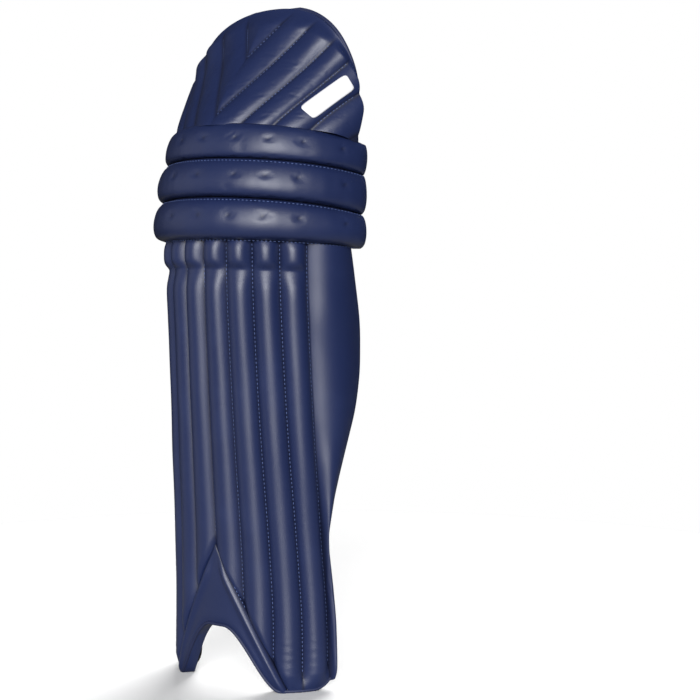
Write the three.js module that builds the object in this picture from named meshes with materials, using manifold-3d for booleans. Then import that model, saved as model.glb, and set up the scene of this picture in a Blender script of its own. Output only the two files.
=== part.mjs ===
// A batting pad: a padded sheet bent round the shin, with knee rolls, a domed knee flap,
// a side wing and three straps.
// Millimetres, +Z up, the front facing -Y, the wing on +X, standing on its two feet at z = 0.
import * as THREE from "three";
import { mergeVertices } from "three/addons/utils/BufferGeometryUtils.js";
import Module from "manifold-3d";

const wasm = await Module();
wasm.setup();

// Clearances
const GAP = 0.3;
const LINING_GAP = 0.5;
const MERGE_TOLERANCE = 1e-3;

// The bent sheet: at each level, where its front line lies, its half width, how far back the sides reach,
// and how much the seams spread apart round it
const LEG_FORM = [
  { z: 0, front: -54, half: 102, deep: 92, spread: 1.1 },
  { z: 75, front: -49, half: 102, deep: 87, spread: 1.055 },
  { z: 150, front: -49, half: 101, deep: 87, spread: 1.01 },
  { z: 250, front: -53, half: 105, deep: 100, spread: 0.985 },
  { z: 350, front: -57, half: 106, deep: 110, spread: 0.985 },
  { z: 430, front: -59, half: 107, deep: 113, spread: 0.985 },
  { z: 505, front: -55, half: 110, deep: 118, spread: 0.985 },
  { z: 600, front: -30, half: 110, deep: 117, spread: 0.92 },
];

// The knee flap's bent sheet, leaning back to its rim: at each level, where its front line and its edges lie
const FLAP_FORM = [
  { z: 555, front: -46, edge: 56 },
  { z: 580, front: -35, edge: 57 },
  { z: 640, front: 14, edge: 75 },
  { z: 700, front: 61, edge: 70 },
];
const FLAP_HALF = 114;
const FLAP_SECTION = 1.5;
const FLAP_SHOULDER_Z = 593;
const FLAP_TOP_Z = 700;
const FLAP_ROUNDNESS = 2.2;
const FLAP_BASE_REACH = 160;

// Padded wall between the outer cover and the lining, from the front line to the side edges
const WALL_FRONT = 16;
const WALL_SIDE = 10;
const WALL_EDGE = 7;
const WALL_THINS_FROM = 70;
const WALL_EDGE_AT = 180;

// Fluted canes of the shin face
const CANE_PITCH = 29.5;
const CANES_EACH_SIDE = 4;
const FACE_EDGE = CANE_PITCH * CANES_EACH_SIDE;
const CANE_VALLEY = -3.5;
const CANE_HEIGHT = 7;
const CANE_FULLNESS = 2.2;
const CREASE_BELOW_ROLL = 33;
const CREASE_DEPTH = 4;
const CREASE_WIDTH = 7;

// Lower edge: arch over the foot, flat soles, rising heels
const ARCH_HEIGHT = 64;
const ARCH_CROWN = 8;
const ARCH_FULLNESS = 0.85;
const SOLE_START = 66;
const SOLE_END = 100;
const HEEL_RISE = 19;
const HEEL_RUN = 28;
const HEM_DROP = 3;
const HEM_HEIGHT = 12;

// Triangular instep panel over the arch
const INSTEP_APEX = 150;
const INSTEP_SLOPE = 2;
const INSTEP_EDGE = 75;
const INSTEP_GAP = 0.8;
const INSTEP_LIFT = -2;

// Side pieces
const SIDE_FOOT_EDGE = 126;
const SIDE_EDGE = 139;
const SIDE_WIDENS_FROM = 40;
const SIDE_WIDENS_TO = 220;
const WING_EDGE = [
  { z: 0, edge: 126 },
  { z: 60, edge: 127 },
  { z: 105, edge: 126 },
  { z: 155, edge: 125 },
  { z: 180, edge: 132 },
  { z: 222, edge: 149 },
  { z: 260, edge: 168 },
  { z: 286, edge: 180 },
  { z: 309, edge: 187 },
  { z: 336, edge: 191 },
  { z: 363, edge: 192 },
  { z: 395, edge: 188 },
  { z: 430, edge: 181 },
  { z: 470, edge: 171 },
];
const WING_FOOT_EDGE = 126;
const WING_TOP_EDGE = 178;
const WING_LIFTS = { seam: CANE_VALLEY, middle: 3.5, edge: -2 };

// Seams of the knee rolls from the top down, each arching down towards its ends
const ROLL_SEAMS = [
  { z: 578, arch: 23 },
  { z: 543, arch: 19 },
  { z: 504, arch: 20 },
  { z: 461, arch: 12 },
];
const ROLL_ARCH_REACH = 180;
const ROLL_LEFT = -178;
const ROLL_RIGHT = 184;
const ROLL_SEAM_LIFT = 1;
const ROLL_BULGE = [8.5, 11.5, 14];
const ROLL_FULLNESS = 2.6;
const ROLL_SAG = 0.65;
const ROLL_END_RUN = 20;
const ROLL_END_STEP = 5;
const ROLL_END_BULGE = 0.4;

// Inner cushions and linings
const LINING_THICK = 2.5;
const LINING_RIB = 4;
const PANEL_THICK = 4;
const PANEL_LIP = 4;
const PANEL_LIP_HEIGHT = 25;
const PANEL_LOW_CENTRE = 428;
const PANEL_LOW_END = 437;
const PANEL_LEFT = -172;
const PANEL_RIGHT = 168;
const PANEL_TOP_DROP = 2;
const PANEL_LIFT_RUN = 20;
const CUSHION_LOW = 163;
const CUSHION_HIGH = 425;
const BOLSTER_INNER = 36;
const BOLSTER_OUTER = 112;
const BOLSTER_EDGE_THICK = 3;
const BOLSTER_RISE = 13;
const CENTRE_THICK = 4;
const CENTRE_RISE = 3;
const FOOT_LINING_INNER = 33;
const FOOT_LINING_HEM = 5;
const FOOT_LINING_OUTER = 121;
const LINING_MARGIN = 4;
const SIDE_LINING_HIGH = 428;

// Straps: level, width, the straight run's place, the lining's thickness under the sewn ends,
// the ring's near bar, the turned-back end, and the stretches sewn inside on +X and held inside on -X
const STRAPS = [
  {
    name: "top", z: 468, width: 27, y: 60, seat: 8.5,
    ringX: -68, tailX: -10, sewn: [144, 162], anchor: [-140, -155],
  },
  {
    name: "middle", z: 339, width: 50, y: 66, seat: 3,
    ringX: -76, tailX: 92, sewn: [144, 162], anchor: [-116, -131],
  },
  {
    name: "bottom", z: 136, width: 50, y: 37, seat: 6.4,
    ringX: -58, tailX: 78, sewn: [98, 114], anchor: [-98, -112],
  },
];
// Way of a ring's loop in to its bar and out again, as steps from the bar in x and y
const ANCHOR_IN = [[-7, -9], [-4, -5.2]];
const ANCHOR_OUT = [[-7, 2], [-11, -4]];
const BEND_RUN = 10;
const BEND_SHARE = 0.75;
const STRAP_THICK = 2.5;
const LAYER_STEP = 2.9;
const TURN_RADIUS = 4.25;
const TURN_STEPS = 8;
const RING_PITCH = 13;
const RING_BAR = 4;
const RING_THICK = 3.5;
const RING_CLEAR = 1;
const RING_DIP_RUN = 24;

// Moulded pull tabs on the strap ends, with a raised trapezoid trim; corners as x and z
const TAB_THICK = 3;
const TRIM_THICK = 0.8;
const TABS = [
  {
    strap: 1,
    outline: [[96, 315], [85, 352], [28, 361], [21, 351], [14, 346], [-21, 345], [-26, 339], [-34, 315]],
    trim: [[90, 320], [83, 349], [33, 357], [20, 320]],
    hole: [[81.5, 322.5], [76.5, 346.5], [34.5, 353.5], [24, 322.5]],
  },
  {
    strap: 2,
    outline: [[81, 111], [72, 149], [17, 159], [7, 150], [-37, 138], [-44, 135], [-52, 111]],
    trim: [[74, 116], [67, 144], [18, 153], [3, 116]],
    hole: [[66, 118.5], [61.5, 141], [19.5, 149], [7, 118.5]],
  },
];

// Sewn channels of the flap: lines rising outwards from the centre at one slope,
// named by their level at the centre
const CHANNEL_SLOPE = 1.5;
const CHANNEL_LEVELS = [392, 436, 484, 530, 587, 647, 720];
const CHANNEL_HEIGHT = 5;
const FLAP_WALL = 14;
const FLAP_RIM_WALL = 8;
const FLAP_RIM_DROP = 3;
const FLAP_RIM_START = 0.85;
const PATCH_CORNERS = [[76, 592], [89, 579], [109, 609], [101, 625]];
const PATCH_BACK_Y = 62;
const PATCH_THICK = 1.2;
const LINING_SHARE = 0.9;
const LINING_RISE = 0.93;
const FLAP_LINING_GAP = 1.2;
const PIPING_RADIUS = 2.5;
const PIPING_FOOT = 0.15;
const PIPING_SIDES = 6;
const PIPING_POINTS = 25;
const PIPING_STEPS = 36;

// How finely each sheet is divided: columns round the leg, rows up it
const WING_ROWS = 19;
const SIDE_ROWS = 15;
const ROLL_COLUMNS = 21;
const FLAP_COLUMNS = 29;
const FLAP_LINING_COLUMNS = 21;
const PANEL_COLUMNS = 25;
const FOOT_INNER_COLUMNS = 4;
const INSTEP_LINING_COLUMNS = 8;
const WING_LINING_GRID = [6, 12];
const SIDE_LINING_GRID = [4, 8];

const FINISHES = {
  navy: { color: 0x28325f, roughness: 0.5 },
  black: { color: 0x1e1b1c, roughness: 0.9 },
  mesh: { color: 0x8a8a8c, roughness: 0.9 },
  white: { color: 0xf2f2f2, roughness: 0.7 },
  plastic: { color: 0x1e1b1c, roughness: 0.4 },
  rubber: { color: 0x3c3839, roughness: 0.6 },
  silver: { color: 0xd2d2d2, roughness: 0.4 },
};

const { lerp, smoothstep } = THREE.MathUtils;

// Value of a table's column at a level, on a smooth curve through the rows
function column(table, key, z) {
  const last = table.length - 1;
  let k = table.findIndex((row) => row.z > z) - 1;
  if (k === -2) k = last - 1;
  k = Math.max(0, Math.min(k, last - 1));
  const slope = (i) => {
    const low = table[Math.max(i - 1, 0)];
    const high = table[Math.min(i + 1, last)];
    return (high[key] - low[key]) / (high.z - low.z);
  };
  const span = table[k + 1].z - table[k].z;
  const t = Math.max(0, Math.min((z - table[k].z) / span, 1));
  const ends = table[k][key] * (1 - 3 * t * t + 2 * t ** 3) + table[k + 1][key] * (3 * t * t - 2 * t ** 3);
  return ends + span * (slope(k) * (t - 2 * t * t + t ** 3) + slope(k + 1) * (t ** 3 - t * t));
}

// Point of the bent sheet at a distance s round from the front line, before the spread, and a level z
function legPoint(s, z) {
  const half = column(LEG_FORM, "half", z);
  const deep = column(LEG_FORM, "deep", z);
  const turn = (2 * s * column(LEG_FORM, "spread", z)) / (half + deep);
  const back = deep * (1 - Math.cos(turn));
  return new THREE.Vector3(half * Math.sin(turn), column(LEG_FORM, "front", z) + back, z);
}

// How squarely the flap faces forward at a sideways place: 1 on the centre line and 0 at its edges
function flapFlatness(x) {
  const share = Math.min(Math.abs(x) / FLAP_HALF, 1);
  return (1 - share ** FLAP_SECTION) ** (1 / FLAP_SECTION);
}

// Point of the knee flap's sheet at a sideways place x and a level z
function flapPoint(x, z) {
  const front = column(FLAP_FORM, "front", z);
  const deep = column(FLAP_FORM, "edge", z) - front;
  return new THREE.Vector3(x, front + deep * (1 - flapFlatness(x)), z);
}

// Level direction facing out of the bent sheet
function legOutward(s, z) {
  const step = 0.5;
  const along = legPoint(s + step, z).sub(legPoint(s - step, z));
  return new THREE.Vector3(along.y, -along.x, 0).normalize();
}

// Level direction facing out of the flap, which turns sideways at its edges
function flapOutward(x, z) {
  const share = Math.max(-1, Math.min(x / FLAP_HALF, 1));
  const deep = Math.max(column(FLAP_FORM, "edge", z) - column(FLAP_FORM, "front", z), 0);
  return new THREE.Vector3(share * deep, -FLAP_HALF * flapFlatness(x) - GAP, 0).normalize();
}

const LEG = { point: legPoint, outward: legOutward };
const FLAP = { point: flapPoint, outward: flapOutward };

// Closed padded sheet: a grid of places on a surface, thickened between an outer and an inner lift
function paddedSheet(surface, columns, rows, coords, outer, inner) {
  const points = [];
  const count = columns.length * rows.length;
  for (const lift of [outer, inner]) {
    for (const u of columns) {
      for (const v of rows) {
        const [a, b] = coords(u, v);
        const place = surface.point(a, b).addScaledVector(surface.outward(a, b), lift(a, b, u, v));
        points.push(place.x, place.y, place.z);
      }
    }
  }
  const at = (i, j, side) => side * count + i * rows.length + j;
  const faces = [];
  const quad = (a, b, c, d) => faces.push(a, b, c, a, c, d);
  const lastColumn = columns.length - 1;
  const lastRow = rows.length - 1;
  for (let i = 0; i < lastColumn; i++) {
    for (let j = 0; j < lastRow; j++) {
      quad(at(i, j, 0), at(i + 1, j, 0), at(i + 1, j + 1, 0), at(i, j + 1, 0));
      quad(at(i, j, 1), at(i, j + 1, 1), at(i + 1, j + 1, 1), at(i + 1, j, 1));
    }
    quad(at(i, 0, 0), at(i, 0, 1), at(i + 1, 0, 1), at(i + 1, 0, 0));
    quad(at(i, lastRow, 0), at(i + 1, lastRow, 0), at(i + 1, lastRow, 1), at(i, lastRow, 1));
  }
  for (let j = 0; j < lastRow; j++) {
    quad(at(0, j, 0), at(0, j + 1, 0), at(0, j + 1, 1), at(0, j, 1));
    quad(at(lastColumn, j, 0), at(lastColumn, j, 1), at(lastColumn, j + 1, 1), at(lastColumn, j + 1, 0));
  }
  const geometry = new THREE.BufferGeometry();
  geometry.setAttribute("position", new THREE.Float32BufferAttribute(points, 3));
  geometry.setIndex(faces);
  geometry.computeVertexNormals();
  return geometry;
}

// Evenly spaced values from a first to a last
function spread(first, last, count) {
  return Array.from({ length: count }, (_, k) => lerp(first, last, k / (count - 1)));
}

const pad = new THREE.Group();
pad.name = "batting_pad";

function add(name, finish, geometry) {
  const mesh = new THREE.Mesh(geometry, new THREE.MeshStandardMaterial(FINISHES[finish]));
  mesh.name = name;
  pad.add(mesh);
}

// Seam k of the knee rolls at a distance round the sheet
const rollSeam = (k, s) => ROLL_SEAMS[k].z - ROLL_SEAMS[k].arch * (s / ROLL_ARCH_REACH) ** 2;

// Lower edge of the whole pad
function hemLevel(s) {
  const reach = Math.abs(s);
  const arch = 1 - smoothstep(reach, ARCH_CROWN, SOLE_START);
  if (reach <= SOLE_END) return ARCH_HEIGHT * arch ** ARCH_FULLNESS;
  return HEEL_RISE * ((reach - SOLE_END) / HEEL_RUN) ** 2;
}

const instepLevel = (s) => INSTEP_APEX - INSTEP_SLOPE * Math.abs(s);
const faceLow = (s) => Math.max(hemLevel(s), instepLevel(s));

// Depth of the padded wall behind the sheet
function wall(s) {
  const reach = Math.abs(s);
  if (reach < FACE_EDGE) return lerp(WALL_FRONT, WALL_SIDE, smoothstep(reach, WALL_THINS_FROM, FACE_EDGE));
  return lerp(WALL_SIDE, WALL_EDGE, Math.min((reach - FACE_EDGE) / (WALL_EDGE_AT - FACE_EDGE), 1));
}

// Rounded hump from 0 at both ends of a share to 1 between them
const hump = (share, fullness) => 1 - Math.abs(2 * share - 1) ** fullness;
const caneShare = (s) => hump((Math.abs(s) / CANE_PITCH) % 1, CANE_FULLNESS);
const hemDip = (z, low) => HEM_DROP * Math.max(0, 1 - (z - low) / HEM_HEIGHT) ** 2;

// Shin face: eight fluted canes from the feet to the knee rolls, with a crease across them under the rolls
const CANE_STEPS = [0, 0.25, 0.5, 0.75];
const faceColumns = [];
for (let k = -CANES_EACH_SIDE; k < CANES_EACH_SIDE; k++) {
  for (const share of CANE_STEPS) faceColumns.push((k + share) * CANE_PITCH);
}
faceColumns.push(FACE_EDGE);
const FACE_MIDDLE = 200;
const FACE_MIDDLE_ROW = 0.4;
const creaseRow = 1 - (1 - FACE_MIDDLE_ROW) * (CREASE_BELOW_ROLL / (ROLL_SEAMS[3].z - FACE_MIDDLE));
const creaseStep = (1 - FACE_MIDDLE_ROW) * (CREASE_WIDTH / (ROLL_SEAMS[3].z - FACE_MIDDLE));
const faceRows = [0, 0.04, 0.1, 0.18, 0.28, FACE_MIDDLE_ROW, 0.52, 0.64, 0.76, 0.85];
faceRows.push(creaseRow - creaseStep, creaseRow, creaseRow + creaseStep, 0.97, 1);
function faceCoords(s, v) {
  const top = rollSeam(3, s) - GAP;
  if (v <= FACE_MIDDLE_ROW) return [s, lerp(faceLow(s), FACE_MIDDLE, v / FACE_MIDDLE_ROW)];
  return [s, lerp(FACE_MIDDLE, top, (v - FACE_MIDDLE_ROW) / (1 - FACE_MIDDLE_ROW))];
}
function faceLift(s, z) {
  const crease = rollSeam(3, s) - CREASE_BELOW_ROLL - z;
  const dent = CREASE_DEPTH * Math.exp(-((crease / CREASE_WIDTH) ** 2));
  return CANE_VALLEY + CANE_HEIGHT * caneShare(s) - dent * caneShare(s) - hemDip(z, faceLow(s));
}
const wallBehind = (s) => -wall(s);
add("shin_face", "navy", paddedSheet(LEG, faceColumns, faceRows, faceCoords, faceLift, wallBehind));

// Instep panel: the smooth triangle between the canes and the arch
const instepColumns = faceColumns.filter((s) => Math.abs(s) < INSTEP_EDGE);
const instepCoords = (s, v) => [s, lerp(hemLevel(s), instepLevel(s) - INSTEP_GAP, v)];
const instepLift = (s, z) => INSTEP_LIFT - hemDip(z, hemLevel(s));
const INSTEP_ROWS = [0, 0.2, 0.45, 0.75, 1];
const instep = paddedSheet(LEG, instepColumns, INSTEP_ROWS, instepCoords, instepLift, wallBehind);
add("instep_panel", "navy", instep);

// Side wing on +X: narrow along the foot and ankle, broad beside the calf
const WING_STEPS = [0, 0.12, 0.35, 0.65, 0.9, 1];
function wingCoords(u, v) {
  const low = hemLevel(lerp(FACE_EDGE, WING_FOOT_EDGE, u));
  const high = rollSeam(3, lerp(FACE_EDGE, WING_TOP_EDGE, u)) - GAP;
  const z = lerp(low, high, v);
  return [lerp(FACE_EDGE + GAP, column(WING_EDGE, "edge", z), u), z];
}
function wingLift(s, z, u) {
  const swell = (WING_LIFTS.middle - WING_LIFTS.edge) * hump(u, CANE_FULLNESS);
  return lerp(WING_LIFTS.seam, WING_LIFTS.edge, u) + swell;
}
const wingRows = spread(0, 1, WING_ROWS);
add("side_wing", "navy", paddedSheet(LEG, WING_STEPS, wingRows, wingCoords, wingLift, wallBehind));

// Plain side panel on -X
const SIDE_STEPS = [0, 0.25, 0.65, 1];
const sideEdge = (z) => lerp(SIDE_FOOT_EDGE, SIDE_EDGE, smoothstep(z, SIDE_WIDENS_FROM, SIDE_WIDENS_TO));
function sideCoords(u, v) {
  const low = hemLevel(lerp(SIDE_FOOT_EDGE, FACE_EDGE, u));
  const high = rollSeam(3, lerp(SIDE_EDGE, FACE_EDGE, u)) - GAP;
  const z = lerp(low, high, v);
  return [-lerp(sideEdge(z), FACE_EDGE + GAP, u), z];
}
const sideLift = (s, z, u) => wingLift(s, z, 1 - u);
const sideRows = spread(0, 1, SIDE_ROWS);
add("side_panel", "navy", paddedSheet(LEG, SIDE_STEPS, sideRows, sideCoords, sideLift, wallBehind));

// Knee rolls: three fat rolls sewn one above another right round the front
const ROLL_NAMES = ["knee_roll_top", "knee_roll_middle", "knee_roll_bottom"];
const ROLL_ROWS = [0, 0.04, 0.15, 0.35, 0.6, 0.87, 1];
const rollMiddle = spread(ROLL_LEFT + ROLL_END_RUN, ROLL_RIGHT - ROLL_END_RUN, ROLL_COLUMNS);
const rollStart = [ROLL_LEFT, ROLL_LEFT + ROLL_END_STEP];
const rollEnd = [ROLL_RIGHT - ROLL_END_STEP, ROLL_RIGHT];
const rollColumns = [...rollStart, ...rollMiddle, ...rollEnd];
ROLL_NAMES.forEach((name, k) => {
  const coords = (s, v) => [s, lerp(rollSeam(k + 1, s) + GAP / 2, rollSeam(k, s) - GAP / 2, v)];
  const lift = (s, z, u, v) => {
    const fromEnd = Math.min(s - ROLL_LEFT, ROLL_RIGHT - s) / ROLL_END_RUN;
    const endShare = Math.sqrt(1 - (1 - Math.min(fromEnd, 1)) ** 2);
    const bulge = ROLL_BULGE[k] * lerp(ROLL_END_BULGE, 1, endShare);
    return ROLL_SEAM_LIFT + bulge * Math.sqrt(hump(v ** ROLL_SAG, ROLL_FULLNESS));
  };
  add(name, "navy", paddedSheet(LEG, rollColumns, ROLL_ROWS, coords, lift, wallBehind));
});

// Knee flap: a padded dome with channels fanning out from the centre of its base
const flapTop = (x) => {
  const share = Math.min(Math.abs(x) / FLAP_HALF, 1);
  const rise = (1 - share ** FLAP_ROUNDNESS) ** (1 / FLAP_ROUNDNESS);
  return FLAP_SHOULDER_Z + (FLAP_TOP_Z - FLAP_SHOULDER_Z) * rise;
};
const flapColumns = spread(-1, 1, FLAP_COLUMNS);
const FLAP_ROWS = [0, 0.1, 0.2, 0.3, 0.4, 0.5, 0.6, 0.7, 0.8, 0.9, 0.97, 1];
function flapCoords(u, v) {
  const x = FLAP_HALF * Math.sin((u * Math.PI) / 2);
  return [x, lerp(rollSeam(0, u * FLAP_BASE_REACH) + GAP, flapTop(x), v)];
}
function channelShare(x, z) {
  const level = z - CHANNEL_SLOPE * Math.abs(x);
  const k = Math.max(CHANNEL_LEVELS.findIndex((line) => line > level), 1);
  return hump((level - CHANNEL_LEVELS[k - 1]) / (CHANNEL_LEVELS[k] - CHANNEL_LEVELS[k - 1]), CANE_FULLNESS);
}
const rimShare = (v) => smoothstep(v, FLAP_RIM_START, 1);
function flapLift(x, z, u, v) {
  return lerp(CHANNEL_HEIGHT * Math.max(channelShare(x, z), 0), -FLAP_RIM_DROP, rimShare(v));
}
const flapInner = (x, z, u, v) => -lerp(FLAP_WALL, FLAP_RIM_WALL, rimShare(v));
add("knee_flap", "navy", paddedSheet(FLAP, flapColumns, FLAP_ROWS, flapCoords, flapLift, flapInner));

// Solid for cutting, from a closed geometry
function solid(geometry) {
  geometry.deleteAttribute("normal");
  geometry.deleteAttribute("uv");
  const joined = mergeVertices(geometry, MERGE_TOLERANCE);
  const vertProperties = new Float32Array(joined.attributes.position.array);
  const triVerts = new Uint32Array(joined.index.array);
  return new wasm.Manifold(new wasm.Mesh({ numProp: 3, vertProperties, triVerts }));
}

// Geometry back from a cut solid
function geometryOf(body) {
  const mesh = body.getMesh();
  const geometry = new THREE.BufferGeometry();
  geometry.setAttribute("position", new THREE.Float32BufferAttribute(mesh.vertProperties, 3));
  geometry.setIndex(Array.from(mesh.triVerts));
  geometry.computeVertexNormals();
  return geometry;
}

const flatPoints = (pairs) => pairs.map(([a, b]) => new THREE.Vector2(a, b));

// Plate facing along y, from corners in x and z, starting at a place along y
function plate(corners, holes, nearY, thick) {
  const shape = new THREE.Shape(flatPoints(corners));
  for (const hole of holes) shape.holes.push(new THREE.Path(flatPoints(hole)));
  const geometry = new THREE.ExtrudeGeometry(shape, { depth: thick, bevelEnabled: false });
  geometry.rotateX(Math.PI / 2);
  geometry.translate(0, nearY + thick, 0);
  return geometry;
}

// Bare patch lying on the flap, cut from a thin sheet that follows the flap's cover
const patchLow = (...place) => flapLift(...place) + GAP;
const patchHigh = (...place) => flapLift(...place) + GAP + PATCH_THICK;
const patchSheet = solid(paddedSheet(FLAP, flapColumns, FLAP_ROWS, flapCoords, patchHigh, patchLow));
const patchCutter = solid(plate(PATCH_CORNERS, [], PATCH_BACK_Y - FLAP_HALF, FLAP_HALF));
add("flap_patch", "white", geometryOf(patchSheet.intersect(patchCutter)));

// White lining behind the flap, kept inside the rim
const liningCoords = (u, v) => flapCoords(u * LINING_SHARE, v * LINING_RISE);
const liningNear = (x, z, u, v) => flapInner(x, z, u, v * LINING_RISE) - FLAP_LINING_GAP;
const liningFar = (x, z, u, v) => liningNear(x, z, u, v) - LINING_THICK;
const LINING_ROWS = [0, 0.3, 0.6, 0.85, 0.93, 1];
const liningColumns = spread(-1, 1, FLAP_LINING_COLUMNS);
const flapLining = paddedSheet(FLAP, liningColumns, LINING_ROWS, liningCoords, liningNear, liningFar);
add("flap_lining", "white", flapLining);

// Piping round the back of the flap's rim
const pipingBack = new THREE.Vector3(0, GAP + PIPING_RADIUS, 0);
const pipingPlace = (u, v) => {
  const [x, z] = flapCoords(u, v);
  const place = flapPoint(x, z).addScaledVector(flapOutward(x, z), -FLAP_RIM_WALL).add(pipingBack);
  place.z = Math.min(place.z, FLAP_TOP_Z - PIPING_RADIUS);
  return place;
};
const pipingRim = spread(-1, 1, PIPING_POINTS).map((u) => pipingPlace(u, 1));
const pipingPath = [pipingPlace(-1, PIPING_FOOT), ...pipingRim, pipingPlace(1, PIPING_FOOT)];
const pipingRound = new THREE.EllipseCurve(0, 0, PIPING_RADIUS, PIPING_RADIUS).getPoints(PIPING_SIDES);
const pipingSection = new THREE.Shape(pipingRound.slice(0, PIPING_SIDES));
const pipingRun = { steps: PIPING_STEPS, extrudePath: new THREE.CatmullRomCurve3(pipingPath) };
add("flap_piping", "navy", new THREE.ExtrudeGeometry(pipingSection, pipingRun));

// Back of every lining and cushion, just inside the padded wall
const liningBack = (s) => -wall(s) - LINING_GAP;

// Soft black panel behind the knee, with a fuller lip along its lower edge
function panelLow(s) {
  const low = lerp(PANEL_LOW_CENTRE, PANEL_LOW_END, (s / PANEL_RIGHT) ** 2);
  return lerp(low, rollSeam(3, s) + PANEL_LIP, smoothstep(-s, SIDE_EDGE - PANEL_LIFT_RUN, SIDE_EDGE));
}
const panelCoords = (s, v) => [s, lerp(panelLow(s), rollSeam(0, s) - PANEL_TOP_DROP, v)];
const panelFar = (s, z) => {
  const lip = Math.max(0, 1 - (z - panelLow(s)) / PANEL_LIP_HEIGHT);
  return liningBack(s) - PANEL_THICK - PANEL_LIP * Math.sqrt(lip);
};
const PANEL_ROWS = [0, 0.06, 0.17, 0.55, 1];
const panelColumns = spread(PANEL_LEFT, PANEL_RIGHT, PANEL_COLUMNS);
add("knee_panel", "black", paddedSheet(LEG, panelColumns, PANEL_ROWS, panelCoords, liningBack, panelFar));

// Thin linings: those in the feet are ribbed like the canes, the others are plain
const plainFace = (s) => liningBack(s) - LINING_THICK;
const ribbedFace = (s) => plainFace(s) - LINING_RIB * caneShare(s);
function lining(name, columns, rows, coords, face) {
  add(name, "black", paddedSheet(LEG, columns, rows, coords, liningBack, face));
}
const FIRST_RIB = 2;
const ribColumns = [];
for (let k = FIRST_RIB; k < CANES_EACH_SIDE; k++) {
  for (const share of CANE_STEPS) ribColumns.push((k + share) * CANE_PITCH);
}
ribColumns.push(FACE_EDGE);
const footInner = spread(FOOT_LINING_INNER, FIRST_RIB * CANE_PITCH, FOOT_INNER_COLUMNS).slice(0, -1);
const footColumns = [...footInner, ...ribColumns, FOOT_LINING_OUTER];
const footLevel = (s, v) => [s, lerp(hemLevel(s) + FOOT_LINING_HEM, CUSHION_LOW - GAP, v)];
const FOOT_ROWS = [0, 0.12, 0.35, 0.65, 1];
lining("foot_lining_right", footColumns, FOOT_ROWS, footLevel, ribbedFace);
lining("foot_lining_left", footColumns.map((s) => -s).reverse(), FOOT_ROWS, footLevel, ribbedFace);
const instepHalf = FOOT_LINING_INNER - GAP;
const instepLiningColumns = spread(-instepHalf, instepHalf, INSTEP_LINING_COLUMNS);
lining("instep_lining", instepLiningColumns, FOOT_ROWS, footLevel, plainFace);
function wingLiningCoords(u, v) {
  const z = lerp(CUSHION_LOW, SIDE_LINING_HIGH, v);
  return [lerp(BOLSTER_OUTER + GAP, column(WING_EDGE, "edge", z) - LINING_MARGIN, u), z];
}
const [wingLiningColumns, wingLiningRows] = WING_LINING_GRID.map((count) => spread(0, 1, count));
lining("wing_lining", wingLiningColumns, wingLiningRows, wingLiningCoords, plainFace);
function sideLiningCoords(u, v) {
  const z = lerp(CUSHION_LOW, SIDE_LINING_HIGH, v);
  return [-lerp(sideEdge(z) - LINING_MARGIN, BOLSTER_OUTER + GAP, u), z];
}
const [sideLiningColumns, sideLiningRows] = SIDE_LINING_GRID.map((count) => spread(0, 1, count));
lining("side_lining", sideLiningColumns, sideLiningRows, sideLiningCoords, plainFace);

// Two mesh bolsters and the white panel between them
const CUSHION_ROWS = [0, 0.03, 0.09, 0.2, 0.35, 0.5, 0.65, 0.8, 0.91, 0.97, 1];
const CUSHION_STEPS = [0, 0.08, 0.25, 0.5, 0.75, 0.92, 1];
const CUSHION_END_FULLNESS = 8;
function cushion(name, finish, first, last, edgeThick, rise) {
  const coords = (u, v) => [lerp(first, last, u), lerp(CUSHION_LOW, CUSHION_HIGH, v)];
  const face = (s, z, u, v) => {
    const swell = Math.sqrt(hump(u, CANE_FULLNESS) * hump(v, CUSHION_END_FULLNESS));
    return liningBack(s) - edgeThick - rise * swell;
  };
  add(name, finish, paddedSheet(LEG, CUSHION_STEPS, CUSHION_ROWS, coords, liningBack, face));
}
cushion("bolster_left", "mesh", -BOLSTER_OUTER, -BOLSTER_INNER, BOLSTER_EDGE_THICK, BOLSTER_RISE);
cushion("bolster_right", "mesh", BOLSTER_INNER, BOLSTER_OUTER, BOLSTER_EDGE_THICK, BOLSTER_RISE);
cushion("centre_panel", "white", -BOLSTER_INNER + GAP, BOLSTER_INNER - GAP, CENTRE_THICK, CENTRE_RISE);

// Upright ribbon of a given width standing on a path in x and y
function ribbon(path, width, z) {
  const left = [];
  const right = [];
  path.forEach((point, k) => {
    const before = path[Math.max(k - 1, 0)];
    const after = path[Math.min(k + 1, path.length - 1)];
    const along = after.clone().sub(before).normalize();
    const across = new THREE.Vector2(-along.y, along.x).multiplyScalar(STRAP_THICK / 2);
    left.push(point.clone().add(across));
    right.unshift(point.clone().sub(across));
  });
  const section = new THREE.Shape([...left, ...right]);
  const geometry = new THREE.ExtrudeGeometry(section, { depth: width, bevelEnabled: false });
  geometry.translate(0, 0, z - width / 2);
  return geometry;
}

// Half turn round a ring's bar, starting on the -Y side and passing the side named by its sign along x
const halfTurn = (x, y, side) =>
  spread(-Math.PI / 2, Math.PI / 2, TURN_STEPS + 1).map(
    (angle) => new THREE.Vector2(x + side * TURN_RADIUS * Math.cos(angle), y + TURN_RADIUS * Math.sin(angle)),
  );

// Place inside the sheet in x and y, in front of a lining of a given thickness
function inside(s, z, seat) {
  const lift = -(wall(s) + LINING_GAP + seat + GAP + STRAP_THICK / 2);
  const place = legPoint(s, z).addScaledVector(legOutward(s, z), lift);
  return new THREE.Vector2(place.x, place.y);
}

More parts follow.
